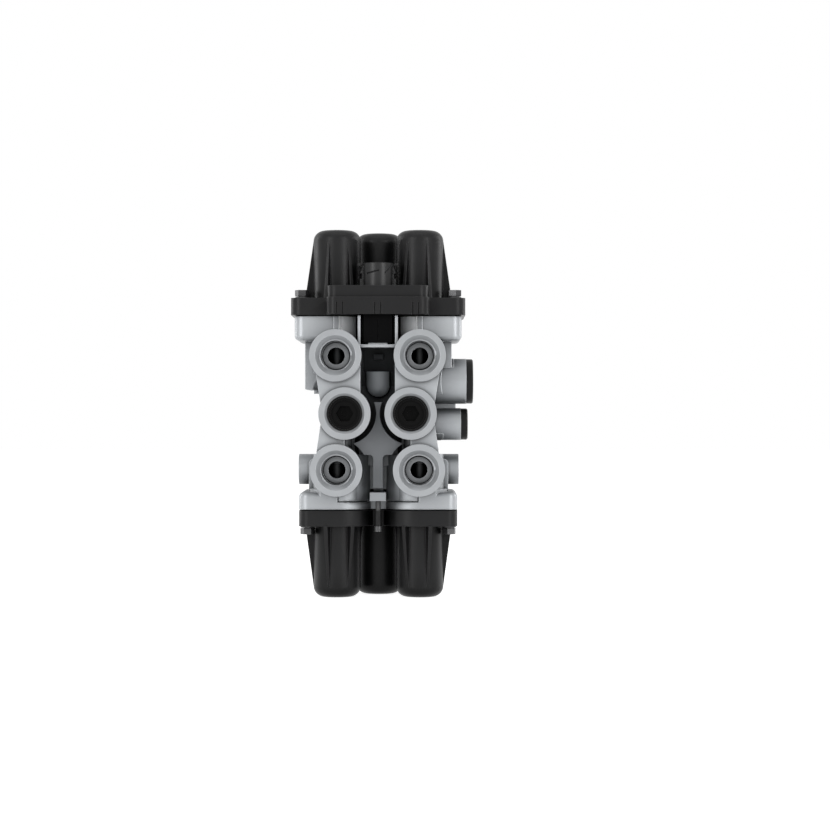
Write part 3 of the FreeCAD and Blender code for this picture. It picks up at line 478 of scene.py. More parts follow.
# Its crevice settings paint shade down the port mouths and bores.
MACHINED_ALLOY = Finish(
    "machined_alloy", (0.335, 0.347, 0.36), 0.36, Texture.TURNED, metallic=0.85, crevice_gain=0.03,
    crevice_reach=12 * MM, crevice_depth=0.8, line_reach=1.2 * MM, line_depth=1.4, edge_gain=1.3,
    edge_radius=0.3 * MM, grain_size=0.35 * MM, grain_depth=0.012 * MM,
)
CAP_PLASTIC = Finish(
    "cap_plastic", (0.009, 0.009, 0.009), 0.42, Texture.MOULDED, specular=0.16, edge_gain=2.2,
    edge_radius=0.4 * MM, grain_size=0.3 * MM, grain_depth=0.01 * MM,
)
# Wide, deep crevice settings paint shade in the slots beside the dome ribs.
COVER_PLASTIC = replace(
    CAP_PLASTIC, name="cover_plastic", colour=(0.015, 0.015, 0.0155), roughness=0.36, crevice_gain=0.03,
    crevice_reach=20 * MM, crevice_depth=1.8, edge_radius=0.6 * MM, grain_size=0.35 * MM,
    grain_depth=0.012 * MM,
)
SENSOR_PLASTIC = replace(
    CAP_PLASTIC, name="sensor_plastic", colour=(0.0025, 0.0025, 0.0027), roughness=0.5, specular=0.035,
    edge_gain=4.0, edge_radius=0.35 * MM,
)
CONNECTOR_PLASTIC = replace(
    CAP_PLASTIC, name="connector_plastic", colour=(0.015, 0.015, 0.0155), roughness=0.34, specular=0.3,
    crevice_gain=0.05, edge_radius=0.3 * MM,
)
PLUG_PLASTIC = replace(
    CAP_PLASTIC, name="plug_plastic", colour=(0.003, 0.003, 0.003), specular=0.07, edge_gain=3.0,
    edge_radius=0.3 * MM,
)
RUBBER = replace(
    CAP_PLASTIC, name="rubber", colour=(0.006, 0.006, 0.006), roughness=0.6, specular=0.15, edge_gain=1.6,
    edge_radius=0.3 * MM, grain_size=0.2 * MM,
)
SCREW_STEEL = Finish(
    "screw_steel", (0.075, 0.075, 0.077), 0.34, Texture.CAST, metallic=0.6, specular=0.4, edge_gain=2.5,
    edge_radius=0.25 * MM, grain_size=0.25 * MM, grain_depth=0.008 * MM,
)
SPRING_STEEL = Finish(
    "spring_steel", (0.30, 0.30, 0.31), 0.34, Texture.CAST, metallic=0.9, grain_size=0.2 * MM,
    grain_depth=0.005 * MM, edge_radius=0.2 * MM,
)
PLATE_STEEL = Finish(
    "plate_steel", (0.42, 0.42, 0.41), 0.38, Texture.CAST, metallic=0.9, grain_size=0.3 * MM,
    grain_depth=0.006 * MM, edge_radius=0.3 * MM,
)
# Wide, deep crevice settings paint shade on the pistons, which are seen down the port holes.
PISTON_ALLOY = replace(
    PLATE_STEEL, name="piston_alloy", colour=(0.30, 0.31, 0.32), roughness=0.35, crevice_gain=0.05,
    crevice_reach=25 * MM, crevice_depth=1.6,
)
PIN_METAL = Finish(
    "pin_metal", (0.62, 0.50, 0.26), 0.28, Texture.CAST, metallic=1.0, grain_size=0.2 * MM,
    grain_depth=0.004 * MM, edge_radius=0.15 * MM,
)


class Palette:
    """The built materials, each made once."""

    def __init__(self) -> None:
        """Start empty, with the shared groups built."""
        self.effects = Effects()
        self.made: dict[str, bpy.types.Material] = {}

    def material(self, finish: Finish) -> bpy.types.Material:
        """Material of a finish."""
        if finish.name not in self.made:
            self.made[finish.name] = finish.build(self.effects)
        return self.made[finish.name]


def smooth(piece: bpy.types.Object, crease: float = 32.0) -> None:
    """Shade a piece smooth up to a crease angle.

    Args:
        piece: Mesh object.
        crease: Angle in degrees above which an edge stays sharp.
    """
    mesh = piece.data
    mesh.shade_smooth()
    mesh.set_sharp_from_angle(angle=math.radians(crease))
    steady = piece.modifiers.new("steady_normals", "WEIGHTED_NORMAL")
    steady.keep_sharp = True
    steady.weight = 100


def paint(piece: bpy.types.Object, *materials: bpy.types.Material) -> None:
    """Put materials on a mesh object, the first in slot 0."""
    piece.data.materials.clear()
    for material in materials:
        piece.data.materials.append(material)


def finished(piece: bpy.types.Object, slot: str, *nodes: str) -> bpy.types.Object:
    """Let a piece ride on the housing and hide the nodes that it stands for.

    Args:
        piece: Mesh object, its place in its mesh.
        slot: Material slot of the record, not used.
        *nodes: CAD nodes that the piece stands for.

    Returns:
        The piece.
    """
    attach(piece, HOUSING)
    if nodes:
        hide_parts(*nodes)
    log.info("%s: %d faces", piece.name, len(piece.data.polygons))
    return piece


def shown(name: str, mesh: bpy.types.Mesh) -> bpy.types.Object:
    """Object of a mesh, linked into the scene."""
    piece = bpy.data.objects.new(name, mesh)
    bpy.context.scene.collection.objects.link(piece)
    return piece


def tidy_form(form: bmesh.types.BMesh) -> None:
    """Merge the doubles of a form and the flat neighbours among its faces."""
    bmesh.ops.remove_doubles(form, verts=form.verts, dist=0.002 * MM)
    bmesh.ops.dissolve_degenerate(form, edges=form.edges, dist=0.001 * MM)
    bmesh.ops.dissolve_limit(form, angle_limit=math.radians(0.4), verts=form.verts, edges=form.edges)


def merged_form(node: str) -> bmesh.types.BMesh:
    """Closed copy of a CAD node's mesh, its flat faces in one piece.

    Args:
        node: Name of the CAD node.

    Returns:
        The copy, which the caller frees.
    """
    form = bmesh.new()
    form.from_mesh(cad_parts[node].data)
    tidy_form(form)
    return form


class Change(Enum):
    """Ways that a form changes the piece in a mould."""

    ADD = "UNION"
    CUT = "DIFFERENCE"
    KEEP = "INTERSECT"


def formed(form: bmesh.types.BMesh) -> bpy.types.Object:
    """Shown object of a closed form, its faces turned outwards."""
    bmesh.ops.recalc_face_normals(form, faces=form.faces)
    mesh = bpy.data.meshes.new("form")
    form.to_mesh(mesh)
    form.free()
    return shown("form", mesh)


def prism(outline: list[Vector], travel: Vector) -> bpy.types.Object:
    """Closed form of an outline moved along a straight way.

    Args:
        outline: Corners in millimetres.
        travel: The way in millimetres.

    Returns:
        The form.
    """
    form = bmesh.new()
    near = [form.verts.new(corner * MM) for corner in outline]
    far = [form.verts.new((corner + travel) * MM) for corner in outline]
    form.faces.new(near)
    form.faces.new(far)
    for number, corner in enumerate(near):
        form.faces.new((near[number - 1], corner, far[number], far[number - 1]))
    return formed(form)


def mirrored(sign: float, near: float, far: float) -> Span:
    """Span between two distances from the middle, on the side of a sign."""
    low, high = sorted((sign * near, sign * far))
    return low, high


def block(x: Span, y: Span, z: Span) -> bpy.types.Object:
    """Box between its faces, in millimetres."""
    outline = [Vector((x[side], y[depth], z[0])) for side, depth in ((0, 0), (1, 0), (1, 1), (0, 1))]
    return prism(outline, Vector((0, 0, z[1] - z[0])))


def rod(heading: Heading, foot: Place, radius: float, length: float, steps: int = 128) -> bpy.types.Object:
    """Round rod.

    Args:
        heading: Way that it points.
        foot: Centre of its foot in millimetres.
        radius: Radius in millimetres.
        length: Length in millimetres.
        steps: Number of flats round it.

    Returns:
        The form.
    """
    turn = Euler(heading.value).to_matrix()
    outline = []
    for step in range(steps):
        angle = math.tau * step / steps
        outline.append(Vector(foot) + turn @ Vector((math.cos(angle), math.sin(angle), 0)) * radius)
    return prism(outline, turn @ Vector((0, 0, length)))


def skinned(rows: list[list[Vector]], whole: bool) -> bpy.types.Object:
    """Closed form over a row of rings.

    Args:
        rows: Corners of each ring in millimetres.
        whole: Whether the last ring meets the first, so that neither needs a cap.

    Returns:
        The form.
    """
    form = bmesh.new()
    rings = [[form.verts.new(corner * MM) for corner in row] for row in rows]
    for number in range(0 if whole else 1, len(rings)):
        before, after = rings[number - 1], rings[number]
        for corner in range(len(before)):
            form.faces.new((before[corner - 1], before[corner], after[corner], after[corner - 1]))
    if not whole:
        form.faces.new(rings[0])
        form.faces.new(rings[-1])
    return formed(form)


def turned(profile: list[Span], heading: Heading, centre: Place, start: float = 0.0,
           sweep: float = 360.0, steps: int = 128) -> bpy.types.Object:
    """Form turned round an axis that its profile doesn't touch.

    Args:
        profile: Corners of radius and height in millimetres.
        heading: Way that the heights grow.
        centre: Place of height 0 on the axis, in millimetres.
        start: Angle in degrees at which it starts.
        sweep: Angle in degrees that it turns through.
        steps: Number of steps of the turn.

    Returns:
        The form.
    """
    turn = Euler(heading.value).to_matrix()
    whole = sweep >= 360.0
    rows = []
    for step in range(steps if whole else steps + 1):
        angle = math.radians(start + sweep * step / steps)
        rows.append([
            Vector(centre) + turn @ Vector((radius * math.cos(angle), radius * math.sin(angle), height))
            for radius, height in profile
        ])
    return skinned(rows, whole)


def helical_bar(turn: Span, height: Span, centre: Place, radius: float, size: float,
                steps: int = 24) -> bpy.types.Object:
    """Square bar that winds up round an axis along Z.

    Args:
        turn: First and last angle in degrees.
        height: First and last height in millimetres.
        centre: Place of height 0 on the axis, in millimetres.
        radius: Radius of the winding in millimetres.
        size: Half the diagonal of the bar in millimetres.
        steps: Number of steps of the turn.

    Returns:
        The form.
    """
    rows = []
    for step in range(steps + 1):
        share = step / steps
        angle = math.radians(turn[0] + (turn[1] - turn[0]) * share)
        rise = height[0] + (height[1] - height[0]) * share
        row = []
        for out, up in ((1, 0), (0, 1), (-1, 0), (0, -1)):
            reach = radius + out * size
            place = Vector((reach * math.cos(angle), reach * math.sin(angle), rise + up * size))
            row.append(Vector(centre) + place)
        rows.append(row)
    return skinned(rows, False)


class Mould:
    """A piece that is shaped by adding and cutting closed forms."""

    def __init__(self, piece: bpy.types.Object) -> None:
        """Start from a closed piece."""
        self.piece = piece
        self.forms: list[bpy.types.Object] = []

    def change(self, change: Change, *forms: bpy.types.Object) -> "Mould":
        """Add, cut or keep what forms hold, one after the other.

        Args:
            change: What the forms do.
            *forms: Closed forms, used up by this.

        Returns:
            The same mould.
        """
        for form in forms:
            step = self.piece.modifiers.new(f"form_{len(self.forms)}", "BOOLEAN")
            step.operation = change.value
            step.solver = "EXACT"
            step.object = form
            self.forms.append(form)
        return self

    def settle(self) -> bpy.types.Object:
        """Make the changes part of the mesh and drop the forms.

        Returns:
            The shaped piece.
        """
        graph = bpy.context.evaluated_depsgraph_get()
        mesh = bpy.data.meshes.new_from_object(self.piece.evaluated_get(graph))
        self.piece.modifiers.clear()
        self.piece.data = mesh
        for form in self.forms:
            bpy.data.objects.remove(form)
        self.forms.clear()
        self.clean()
        return self.piece

    def clean(self) -> None:
        """Merge the doubles of the mesh."""
        form = bmesh.new()
        form.from_mesh(self.piece.data)
        bmesh.ops.remove_doubles(form, verts=form.verts, dist=0.001 * MM)
        bmesh.ops.dissolve_degenerate(form, edges=form.edges, dist=0.001 * MM)
        form.to_mesh(self.piece.data)
        form.free()


def traced_copy(node: str, name: str) -> bpy.types.Object:
    """Shown copy of a CAD node with merged points and no stored normals.

    Args:
        node: Name of the CAD node.
        name: Name of the new piece.

    Returns:
        The new object.
    """
    form = merged_form(node)
    mesh = bpy.data.meshes.new(name)
    form.to_mesh(mesh)
    form.free()
    if "custom_normal" in mesh.attributes:
        mesh.attributes.remove(mesh.attributes["custom_normal"])
    return shown(name, mesh)


def islands(node: str) -> list[tuple[Vector, Vector]]:
    """Lowest and highest corner of each separate solid of a CAD node.

    Args:
        node: Name of the CAD node.

    Returns:
        One pair of corners for each solid, from left to right and front to rear.
    """
    form = merged_form(node)
    left = set(form.verts)
    found = []
    while left:
        reached = {left.pop()}
        front = list(reached)
        while front:
            point = front.pop()
            for edge in point.link_edges:
                other = edge.other_vert(point)
                if other not in reached:
                    reached.add(other)
                    front.append(other)
        left -= reached
        places = [point.co for point in reached]
        low = Vector(tuple(min(place[axis] for place in places) for axis in range(3)))
        high = Vector(tuple(max(place[axis] for place in places) for axis in range(3)))
        found.append((low, high))
    form.free()
    return sorted(found, key=lambda corners: (round(corners[0].x, 4), round(corners[0].y, 4)))


class GrowthTree:
    """A Geometry Nodes tree that puts one form on each point of a mesh."""

    def __init__(self, name: str, sizes: dict[str, str]) -> None:
        """Make the tree's interface.

        Args:
            name: Name of the tree.
            sizes: Input name to its socket kind, such as Float or Int.
        """
        tree = bpy.data.node_groups.new(name, "GeometryNodeTree")
        tree.interface.new_socket("Points", in_out="INPUT", socket_type="NodeSocketGeometry")
        self.identifiers = {}
        common = {"Heading": "Vector", "Spin": "Float", "Material": "Material"}
        for label, kind in {**sizes, **common}.items():
            socket = tree.interface.new_socket(label, in_out="INPUT", socket_type="NodeSocket" + kind)
            self.identifiers[label] = socket.identifier
        tree.interface.new_socket("Geometry", in_out="OUTPUT", socket_type="NodeSocketGeometry")
        self.graph = NodeGraph(tree)
        self.source = self.graph.add("NodeGroupInput").outputs
        self.build(self.graph, self.source)

    def build(self, graph: NodeGraph, source: object) -> None:
        """Add the nodes that make the form, which each kind of tree does in its own way."""
        raise NotImplementedError

    def spread(self, form: object) -> None:
        """Put a form on every point, turned to the heading, and give it its material.

        Args:
            form: Geometry output of the form, its axis on +Z.
        """
        graph = self.graph
        number = graph.add("GeometryNodeInputIndex").outputs[0]
        turn = graph.maths("MULTIPLY", number, self.source["Spin"])
        own = graph.add("ShaderNodeCombineXYZ", {"Z": turn}).outputs[0]
        own = graph.add("FunctionNodeEulerToRotation", {0: own}).outputs[0]
        heading = graph.add("FunctionNodeEulerToRotation", {0: self.source["Heading"]}).outputs[0]
        both = graph.add(
            "FunctionNodeRotateRotation", {0: heading, 1: own}, rotation_space="LOCAL"
        ).outputs[0]
        copies = graph.add(
            "GeometryNodeInstanceOnPoints",
            {"Points": self.source["Points"], "Instance": form, "Rotation": both},
        ).outputs[0]
        real = graph.add("GeometryNodeRealizeInstances", {"Geometry": copies}).outputs[0]
        dressed = graph.add(
            "GeometryNodeSetMaterial", {"Geometry": real, "Material": self.source["Material"]}
        ).outputs[0]
        graph.add("NodeGroupOutput", {0: dressed})

    def grow(self, name: str, points: list[Vector], heading: Heading, material: bpy.types.Material,
             spin: float = 0.0, **sizes: float) -> bpy.types.Object:
        """Run the tree into a plain mesh.

        Args:
            name: Name of the new piece.
            points: Places of the forms in the row frame, in metres.
            heading: Where each form's axis points.
            material: Finish of the forms.
            spin: Turn of each form about its own axis from one to the next, in radians.
            **sizes: Input name in lower case, with _ for spaces, to its value.

        Returns:
            The new object, without the modifier.
        """
        seeds = bpy.data.meshes.new(name)
        seeds.from_pydata(points, [], [])
        piece = shown(name, seeds)
        growth = piece.modifiers.new("growth", "NODES")
        growth.node_group = self.graph.tree
        given = {label.replace("_", " ").title(): size for label, size in sizes.items()}
        given.update({"Heading": heading.value, "Spin": spin, "Material": material})
        for label, size in given.items():
            growth[self.identifiers[label]] = size
        evaluated = piece.evaluated_get(bpy.context.evaluated_depsgraph_get())
        piece.data = bpy.data.meshes.new_from_object(evaluated)
        piece.modifiers.clear()
        return piece


class ScrewTree(GrowthTree):
    """Hexagon flange screws, heads up from each point."""

    def __init__(self) -> None:
        """Name the sizes of a screw."""
        super().__init__("flange_screws", {
            "Flat Radius": "Float", "Head Height": "Float", "Flange Radius": "Float",
            "Flange Height": "Float", "Shank Radius": "Float", "Shank Length": "Float",
        })

    def build(self, graph: NodeGraph, source: object) -> None:
        """Chamfered hexagon with a dimple, on a conical flange and a shank.

        Args:
            graph: Graph of the tree.
            source: Outputs of the tree's input node.
        """
        chamfer_share, cone_share = 0.86, 1.9
        dimple_share, dimple_depth_share = 0.62, 0.36
        flange_share = 0.9
        spare = graph.maths("MULTIPLY", source["Head Height"], 0.1)
        half_head = graph.maths("MULTIPLY", source["Head Height"], 0.5)
        head = self._raised(graph, "GeometryNodeMeshCylinder", source["Flange Height"], half_head, {
            "Vertices": 6, "Radius": source["Flat Radius"], "Depth": source["Head Height"],
        })
        cone_top = graph.maths("MULTIPLY", source["Flat Radius"], chamfer_share)
        cone_low = graph.maths("MULTIPLY", source["Flat Radius"], cone_share)
        cone = self._raised(graph, "GeometryNodeMeshCone", source["Flange Height"], spare, {
            "Vertices": 48, "Radius Top": cone_top, "Radius Bottom": cone_low,
            "Depth": source["Head Height"],
        })
        chamfered = self._mixed(graph, "INTERSECT", head, cone)
        dimple_radius = graph.maths("MULTIPLY", source["Flat Radius"], dimple_share)
        dimple_depth = graph.maths("MULTIPLY", source["Head Height"], dimple_depth_share)
        head_top = graph.maths("ADD", source["Flange Height"], source["Head Height"])
        dimple = self._raised(graph, "GeometryNodeMeshCylinder", head_top, 0.0, {
            "Vertices": 32, "Radius": dimple_radius, "Depth": dimple_depth,
        })
        chamfered = self._mixed(graph, "DIFFERENCE", chamfered, dimple)
        flange_top = graph.maths("MULTIPLY", source["Flange Radius"], flange_share)
        flange = self._raised(graph, "GeometryNodeMeshCone", 0.0, 0.0, {
            "Vertices": 48, "Radius Top": flange_top, "Radius Bottom": source["Flange Radius"],
            "Depth": source["Flange Height"],
        })
        length = graph.maths("ADD", source["Shank Length"], source["Flange Height"])
        half_length = graph.maths("MULTIPLY", length, 0.5)
        shank = self._raised(graph, "GeometryNodeMeshCylinder",
                             graph.maths("SUBTRACT", half_length, source["Shank Length"]), 0.0, {
                                 "Vertices": 24, "Radius": source["Shank Radius"], "Depth": length,
                             })
        self.spread(self._mixed(graph, "UNION", self._mixed(graph, "UNION", chamfered, flange), shank))

    @staticmethod
    def _raised(graph: NodeGraph, kind: str, foot: object, lift: object, sizes: dict) -> object:
        """Primitive moved up its axis.

        Args:
            graph: Graph of the tree.
            kind: Type name of the primitive's node.
            foot: Height of the place that it stands on.
            lift: Further height.
            sizes: Inputs of the primitive.

        Returns:
            Geometry output of the moved primitive.
        """
        form = graph.add(kind, sizes).outputs["Mesh"]
        height = graph.maths("ADD", foot, lift)
        shift = graph.add("ShaderNodeCombineXYZ", {"Z": height}).outputs[0]
        return graph.add("GeometryNodeTransform", {"Geometry": form, "Translation": shift}).outputs[0]

    @staticmethod
    def _mixed(graph: NodeGraph, operation: str, first: object, second: object) -> object:
        """Boolean of two closed forms, as one geometry output."""
        node = graph.add("GeometryNodeMeshBoolean", operation=operation, solver="EXACT")
        graph.feed(node.inputs["Mesh 1" if operation == "DIFFERENCE" else "Mesh 2"], first)
        graph.feed(node.inputs["Mesh 2"], second)
        return node.outputs["Mesh"]


class RidgeTree(GrowthTree):
    """Helical ridges round an axis, which are the threads of holes."""

    def __init__(self) -> None:
        """Name the sizes of a ridge."""
        super().__init__("helical_ridges", {
            "Radius": "Float", "Pitch": "Float", "Turns": "Float", "Ridge Radius": "Float",
            "Ridge Corners": "Int", "Steps": "Int",
        })

    def build(self, graph: NodeGraph, source: object) -> None:
        """Helix that goes down from its point, swept by a small polygon.

        Args:
            graph: Graph of the tree.
            source: Outputs of the tree's input node.
        """
        height = graph.maths("MULTIPLY", source["Pitch"], source["Turns"])
        helix = graph.add("GeometryNodeCurveSpiral", {
            "Resolution": source["Steps"], "Rotations": source["Turns"], "Start Radius": source["Radius"],
            "End Radius": source["Radius"], "Height": height,
        }).outputs[0]
        down = graph.maths("MULTIPLY", height, -1.0)
        shift = graph.add("ShaderNodeCombineXYZ", {"Z": down}).outputs[0]
        helix = graph.add("GeometryNodeTransform", {"Geometry": helix, "Translation": shift}).outputs[0]
        helix = graph.add("GeometryNodeSetCurveNormal", {"Curve": helix}, mode="Z_UP").outputs[0]
        section = graph.add("GeometryNodeCurvePrimitiveCircle", {
            "Resolution": source["Ridge Corners"], "Radius": source["Ridge Radius"],
        }).outputs[0]
        ridge = graph.add("GeometryNodeCurveToMesh", {
            "Curve": helix, "Profile Curve": section, "Fill Caps": True,
        }).outputs[0]
        self.spread(ridge)


@dataclass
class Workshop:
    """What every sub-assembly draws on: the finishes and the growth trees."""

    palette: Palette = field(default_factory=Palette)
    screws: ScrewTree = field(default_factory=ScrewTree)
    ridges: RidgeTree = field(default_factory=RidgeTree)

    def dress(self, node: str, finish: Finish) -> None:
        """Give a CAD node that stays as it is a finish of its own."""
        paint(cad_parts[node], self.palette.material(finish))

    def copy(self, node: str, name: str, finish: Finish, slot: str) -> bpy.types.Object:
        """Show a smooth copy in place of a CAD node of the housing.

        Args:
            node: Name of the CAD node.
            name: Name of the new piece.
            finish: Its finish.
            slot: Its material slot in the record.

        Returns:
            The new piece.
        """
        return self.finish(traced_copy(node, name), finish, slot, node)

    def finish(self, piece: bpy.types.Object, finish: Finish, slot: str, node: str,
               crease: float = 32.0) -> bpy.types.Object:
        """Paint and smooth a piece of the housing and let it stand for its node.

        Args:
            piece: The piece.
            finish: Its finish.
            slot: Its material slot in the record.
            node: CAD node that it stands for.
            crease: Angle in degrees above which an edge stays sharp.

        Returns:
            The piece.
        """
        paint(piece, self.palette.material(finish))
        smooth(piece, crease)
        return finished(piece, slot, node)


@dataclass
class Front:
    """Front of casting, gaskets and lower cover, all in millimetres.

    The rings of the bosses are slightly wider than the surfaces that they replace, and they reach
    deeper than those are cut off, so that no two surfaces of a boolean nearly coincide.
    """

    room: float = -101.0
    tall: float = 132.0
    bore_x: float = 27.2
    bore_y: float = -62.0
    column_radius: float = 15.6
    flange_front: float = -80.0
    cover_front: float = -81.0
    flange_half: float = 52.0
    base: float = -62.6
    below: float = -66.0
    lobe_y: float = -55.0
    lobe_radius: float = 25.0
    lobe_rear: float = -61.0
    lobe_z: Span = (-64.0, -20.0)
    chamber_radius: float = 15.0
    chamber_height: float = 60.0
    valley_floor: float = -66.0
    valley_rear: float = -59.0
    valley_half: float = 12.5
    boss_radius: float = 16.7
    boss_reach: float = 38.0
    boss_face: float = -100.0
    mouth_radius: float = 13.05
    thread_radius: float = 10.3
    ports: tuple[Span, ...] = ((27.2, 37.5), (21.3, 0.0), (26.7, -36.6))
    recess_half: float = 11.2
    cheek: float = 12.9
    recess_floor: float = -64.0
    sector_lap: float = 0.3
    sector_start: float = -2.0
    sector_cone: Span = (0.8, -3.0)
    sector_rear: float = -60.0
    sector_reach: float = 20.0
    window_half: float = 26.5
    window_low: float = -57.9
    window_step: float = 0.6
    line_width: float = 0.8
    line_depth: float = 1.4
    line_high: float = -53.2
    upper_window_half: float = 25.0
    top_flange_low: float = 47.8
    port_side: float = 14.0
    port_low_z: float = -45.0
    star_low: float = -26.8
    star_face: float = -84.0
    stem_half: float = 3.2
    stem_end: float = -48.6
    stem_corner: float = 2.4
    pad_half: float = 5.2
    pad_z: Span = (-56.7, -51.2)
    pad_face: float = -88.0
    nib_y: float = -77.0
    nib_radius: float = 2.2
    nib_high: float = -58.1
    web_half: float = 1.4
    screw_hole: float = 1.35
    screw_z: Span = (-80.0, -59.2)
    cover_low: float = -73.6
    gasket_inset: float = 1.2
    gasket_foot: float = 60.0
    column_foot: float = 26.6
    old_column_foot: float = 12.9
    column_side: float = 44.0
    link_half: float = 35.8
    link_slant: float = 0.15
    stub_y: tuple[float, float, float, float] = (-78.0, -66.0, -44.0, -30.0)
    block_half: float = 48.2
    block_y: Span = (-67.0, -7.0)
    block_z: Span = (14.0, 47.8)
    block_low: float = 15.7
    supply: Span = (21.4, 14.95)
    auxiliary: Span = (-6.9, 10.6)
    side_port_y: float = -54.0
    lap: float = 2.0
    gap: float = 0.1
    ring_cut: float = 3.1
    ring_depth: float = 4.2

    def space(self, half: float, floor: float, lobe: Span, z: Span) -> Mould:
        """Space in front of two round lobes and of the floor between them.

        Args:
            half: Half its width.
            floor: Y of the floor.
            lobe: Y of the lobes' centres and their radius.
            z: Its heights.

        Returns:
            The mould with the space.
        """
        mould = Mould(block((-half, half), (self.room, floor), z))
        length = z[1] - z[0] + 2 * self.lap
        for x in (-self.bore_x, self.bore_x):
            mould.change(Change.CUT, rod(Heading.UP, (x, lobe[0], z[0] - self.lap), lobe[1], length))
        return mould

    def port_feet(self, y: float) -> list[Place]:
        """Centres of the six ports at a depth, first the left ones."""
        return [(sign * x, y, z) for sign in (-1, 1) for x, z in self.ports]

    def boss(self, sign: int, port: Span) -> bpy.types.Object:
        """Whole boss of a front port."""
        foot = (sign * port[0], self.bore_y, port[1])
        return rod(Heading.FRONT, foot, self.boss_radius + self.gap, self.boss_reach + self.lap)

    def side_boss(self, place: Span) -> bpy.types.Object:
        """Boss of a side port by its height and radius."""
        foot = (self.lap, self.side_port_y, place[0])
        return rod(Heading.RIGHT, foot, place[1] + 2 * self.gap, 2 * self.column_side)

    def openings(self) -> list[bpy.types.Object]:
        """Spaces that the casting lacks: joint front, windows, column stubs and block sides."""
        low_port = self.ports[2]
        lower = [
            Mould(block((-self.flange_half, self.flange_half), (self.room, self.flange_front),
                        (self.below, self.stem_end))),
            self.space(self.window_half, self.valley_floor, (self.lobe_y, self.lobe_radius - self.lap),
                       (self.window_low, self.stem_end)),
            self.space(self.bore_x, self.valley_floor, (self.lobe_y, self.lobe_radius),
                       (self.below, self.window_low)),
        ]
        for mould in lower[:2]:
            mould.change(Change.CUT, self.boss(-1, low_port), self.boss(1, low_port))
        upper = []
        for sign in (-1, 1):
            window = Mould(block(mirrored(sign, self.cheek, self.upper_window_half),
                                 (self.room, self.recess_floor), (self.top_flange_low, -self.below)))
            column = rod(Heading.UP, (sign * self.bore_x, self.bore_y, 0), self.column_radius, self.tall)
            window.change(Change.CUT, column, self.boss(sign, self.ports[0]))
            upper.append(window)
        stem = block((-self.stem_half, self.stem_half), (self.star_face - self.lap, self.recess_floor),
                     (self.stem_end - self.lap, self.star_low))
        spaces = [mould.settle() for mould in lower + upper + self.stubs() + self.block_sides()]
        rings = [
            rod(Heading.FRONT, foot, self.boss_radius + 4 * self.gap, 2 * self.ring_cut)
            for foot in self.port_feet(self.boss_face + self.ring_cut)
        ]
        return spaces + rings + [stem]

    def stubs(self) -> list[Mould]:
        """Spaces beside the link plates, where the columns stop short.

        The last row has none on the right, where the supply boss fills it.
        """
        moulds = []
        front, split, rear, deep = self.stub_y
        rows = (
            ((-self.old_column_foot, -self.column_foot), (front, rear), self.auxiliary),
            ((self.old_column_foot, self.column_foot), (front, split), self.supply),
            ((self.old_column_foot, self.block_low), (split, deep), self.supply),
        )
        for sign in (-1, 1):
            for heights, depth, boss in rows if sign < 0 else rows[:2]:
                near, far = (self.link_half + self.link_slant * abs(height) for height in heights)
                outline = [
                    Vector((sign * near, depth[0], heights[0])),
                    Vector((sign * self.column_side, depth[0], heights[0])),
                    Vector((sign * self.column_side, depth[0], heights[1])),
                    Vector((sign * far, depth[0], heights[1])),
                ]
                mould = Mould(prism(outline, Vector((0, depth[1] - depth[0], 0))))
                if sign > 0:
                    mould.change(Change.CUT, self.side_boss(boss))
                moulds.append(mould)
        return moulds

    def block_sides(self) -> list[Mould]:
        """Slices off the sides of the upper block."""
        left, right = (
            Mould(block(mirrored(sign, self.block_half, self.flange_half), self.block_y, self.block_z))
            for sign in (-1, 1)
        )
        right.change(Change.CUT, self.side_boss(self.supply))
        return [left, right]

    def growths(self) -> list[bpy.types.Object]:
        """Forms that the casting gains: lobes, valley floor, pad, nib, stem and whole port rings."""
        forms = []
        radius = self.lobe_radius - self.window_step
        foot = self.window_low - self.window_step
        for sign in (-1, 1):
            x = sign * self.bore_x
            lobe = Mould(rod(Heading.UP, (x, self.lobe_y, foot), radius, self.star_low - foot))
            lobe.change(Change.KEEP, block(mirrored(sign, 0, self.window_half),
                                           (self.room, self.lobe_rear), self.lobe_z))
            lobe.change(
                Change.CUT,
                block(mirrored(sign, self.port_side, 2 * self.window_half),
                      (self.room, self.lobe_y), (self.port_low_z, 0.0)),
                rod(Heading.UP, (x, self.bore_y, self.lobe_z[0]), self.chamber_radius, self.chamber_height),
            )
            forms.append(lobe.settle())
        forms.append(block((-self.valley_half, self.valley_half), (self.valley_floor, self.valley_rear),
                           (foot, self.star_low)))
        forms.append(block((-self.pad_half, self.pad_half), (self.pad_face, self.recess_floor), self.pad_z))
        forms += self.nib(self.base, self.nib_high)
        forms.append(self.stem())
        return forms + self.ring_sectors() + self.rings()

    def stem(self) -> bpy.types.Object:
        """Stem below the star, with round corners where it meets the star."""
        right = [(self.stem_half, self.stem_end)]
        steps = 8
        for step in range(steps + 1):
            angle = math.radians(180 - 90 * step / steps)
            right.append((self.stem_half + self.stem_corner * (1 + math.cos(angle)),
                          self.star_low + self.stem_corner * (math.sin(angle) - 1)))
        left = [(-x, z) for x, z in reversed(right)]
        outline = [Vector((x, self.star_face, z)) for x, z in right + left]
        return prism(outline, Vector((0, self.recess_floor - self.star_face, 0)))

    def nib(self, low: float, high: float) -> list[bpy.types.Object]:
        """Round nib of the centre screw and the web behind it."""
        return [
            rod(Heading.UP, (0, self.nib_y, low), self.nib_radius, high - low, 48),
            block((-self.web_half, self.web_half), (self.nib_y, self.recess_floor), (low, high)),
        ]

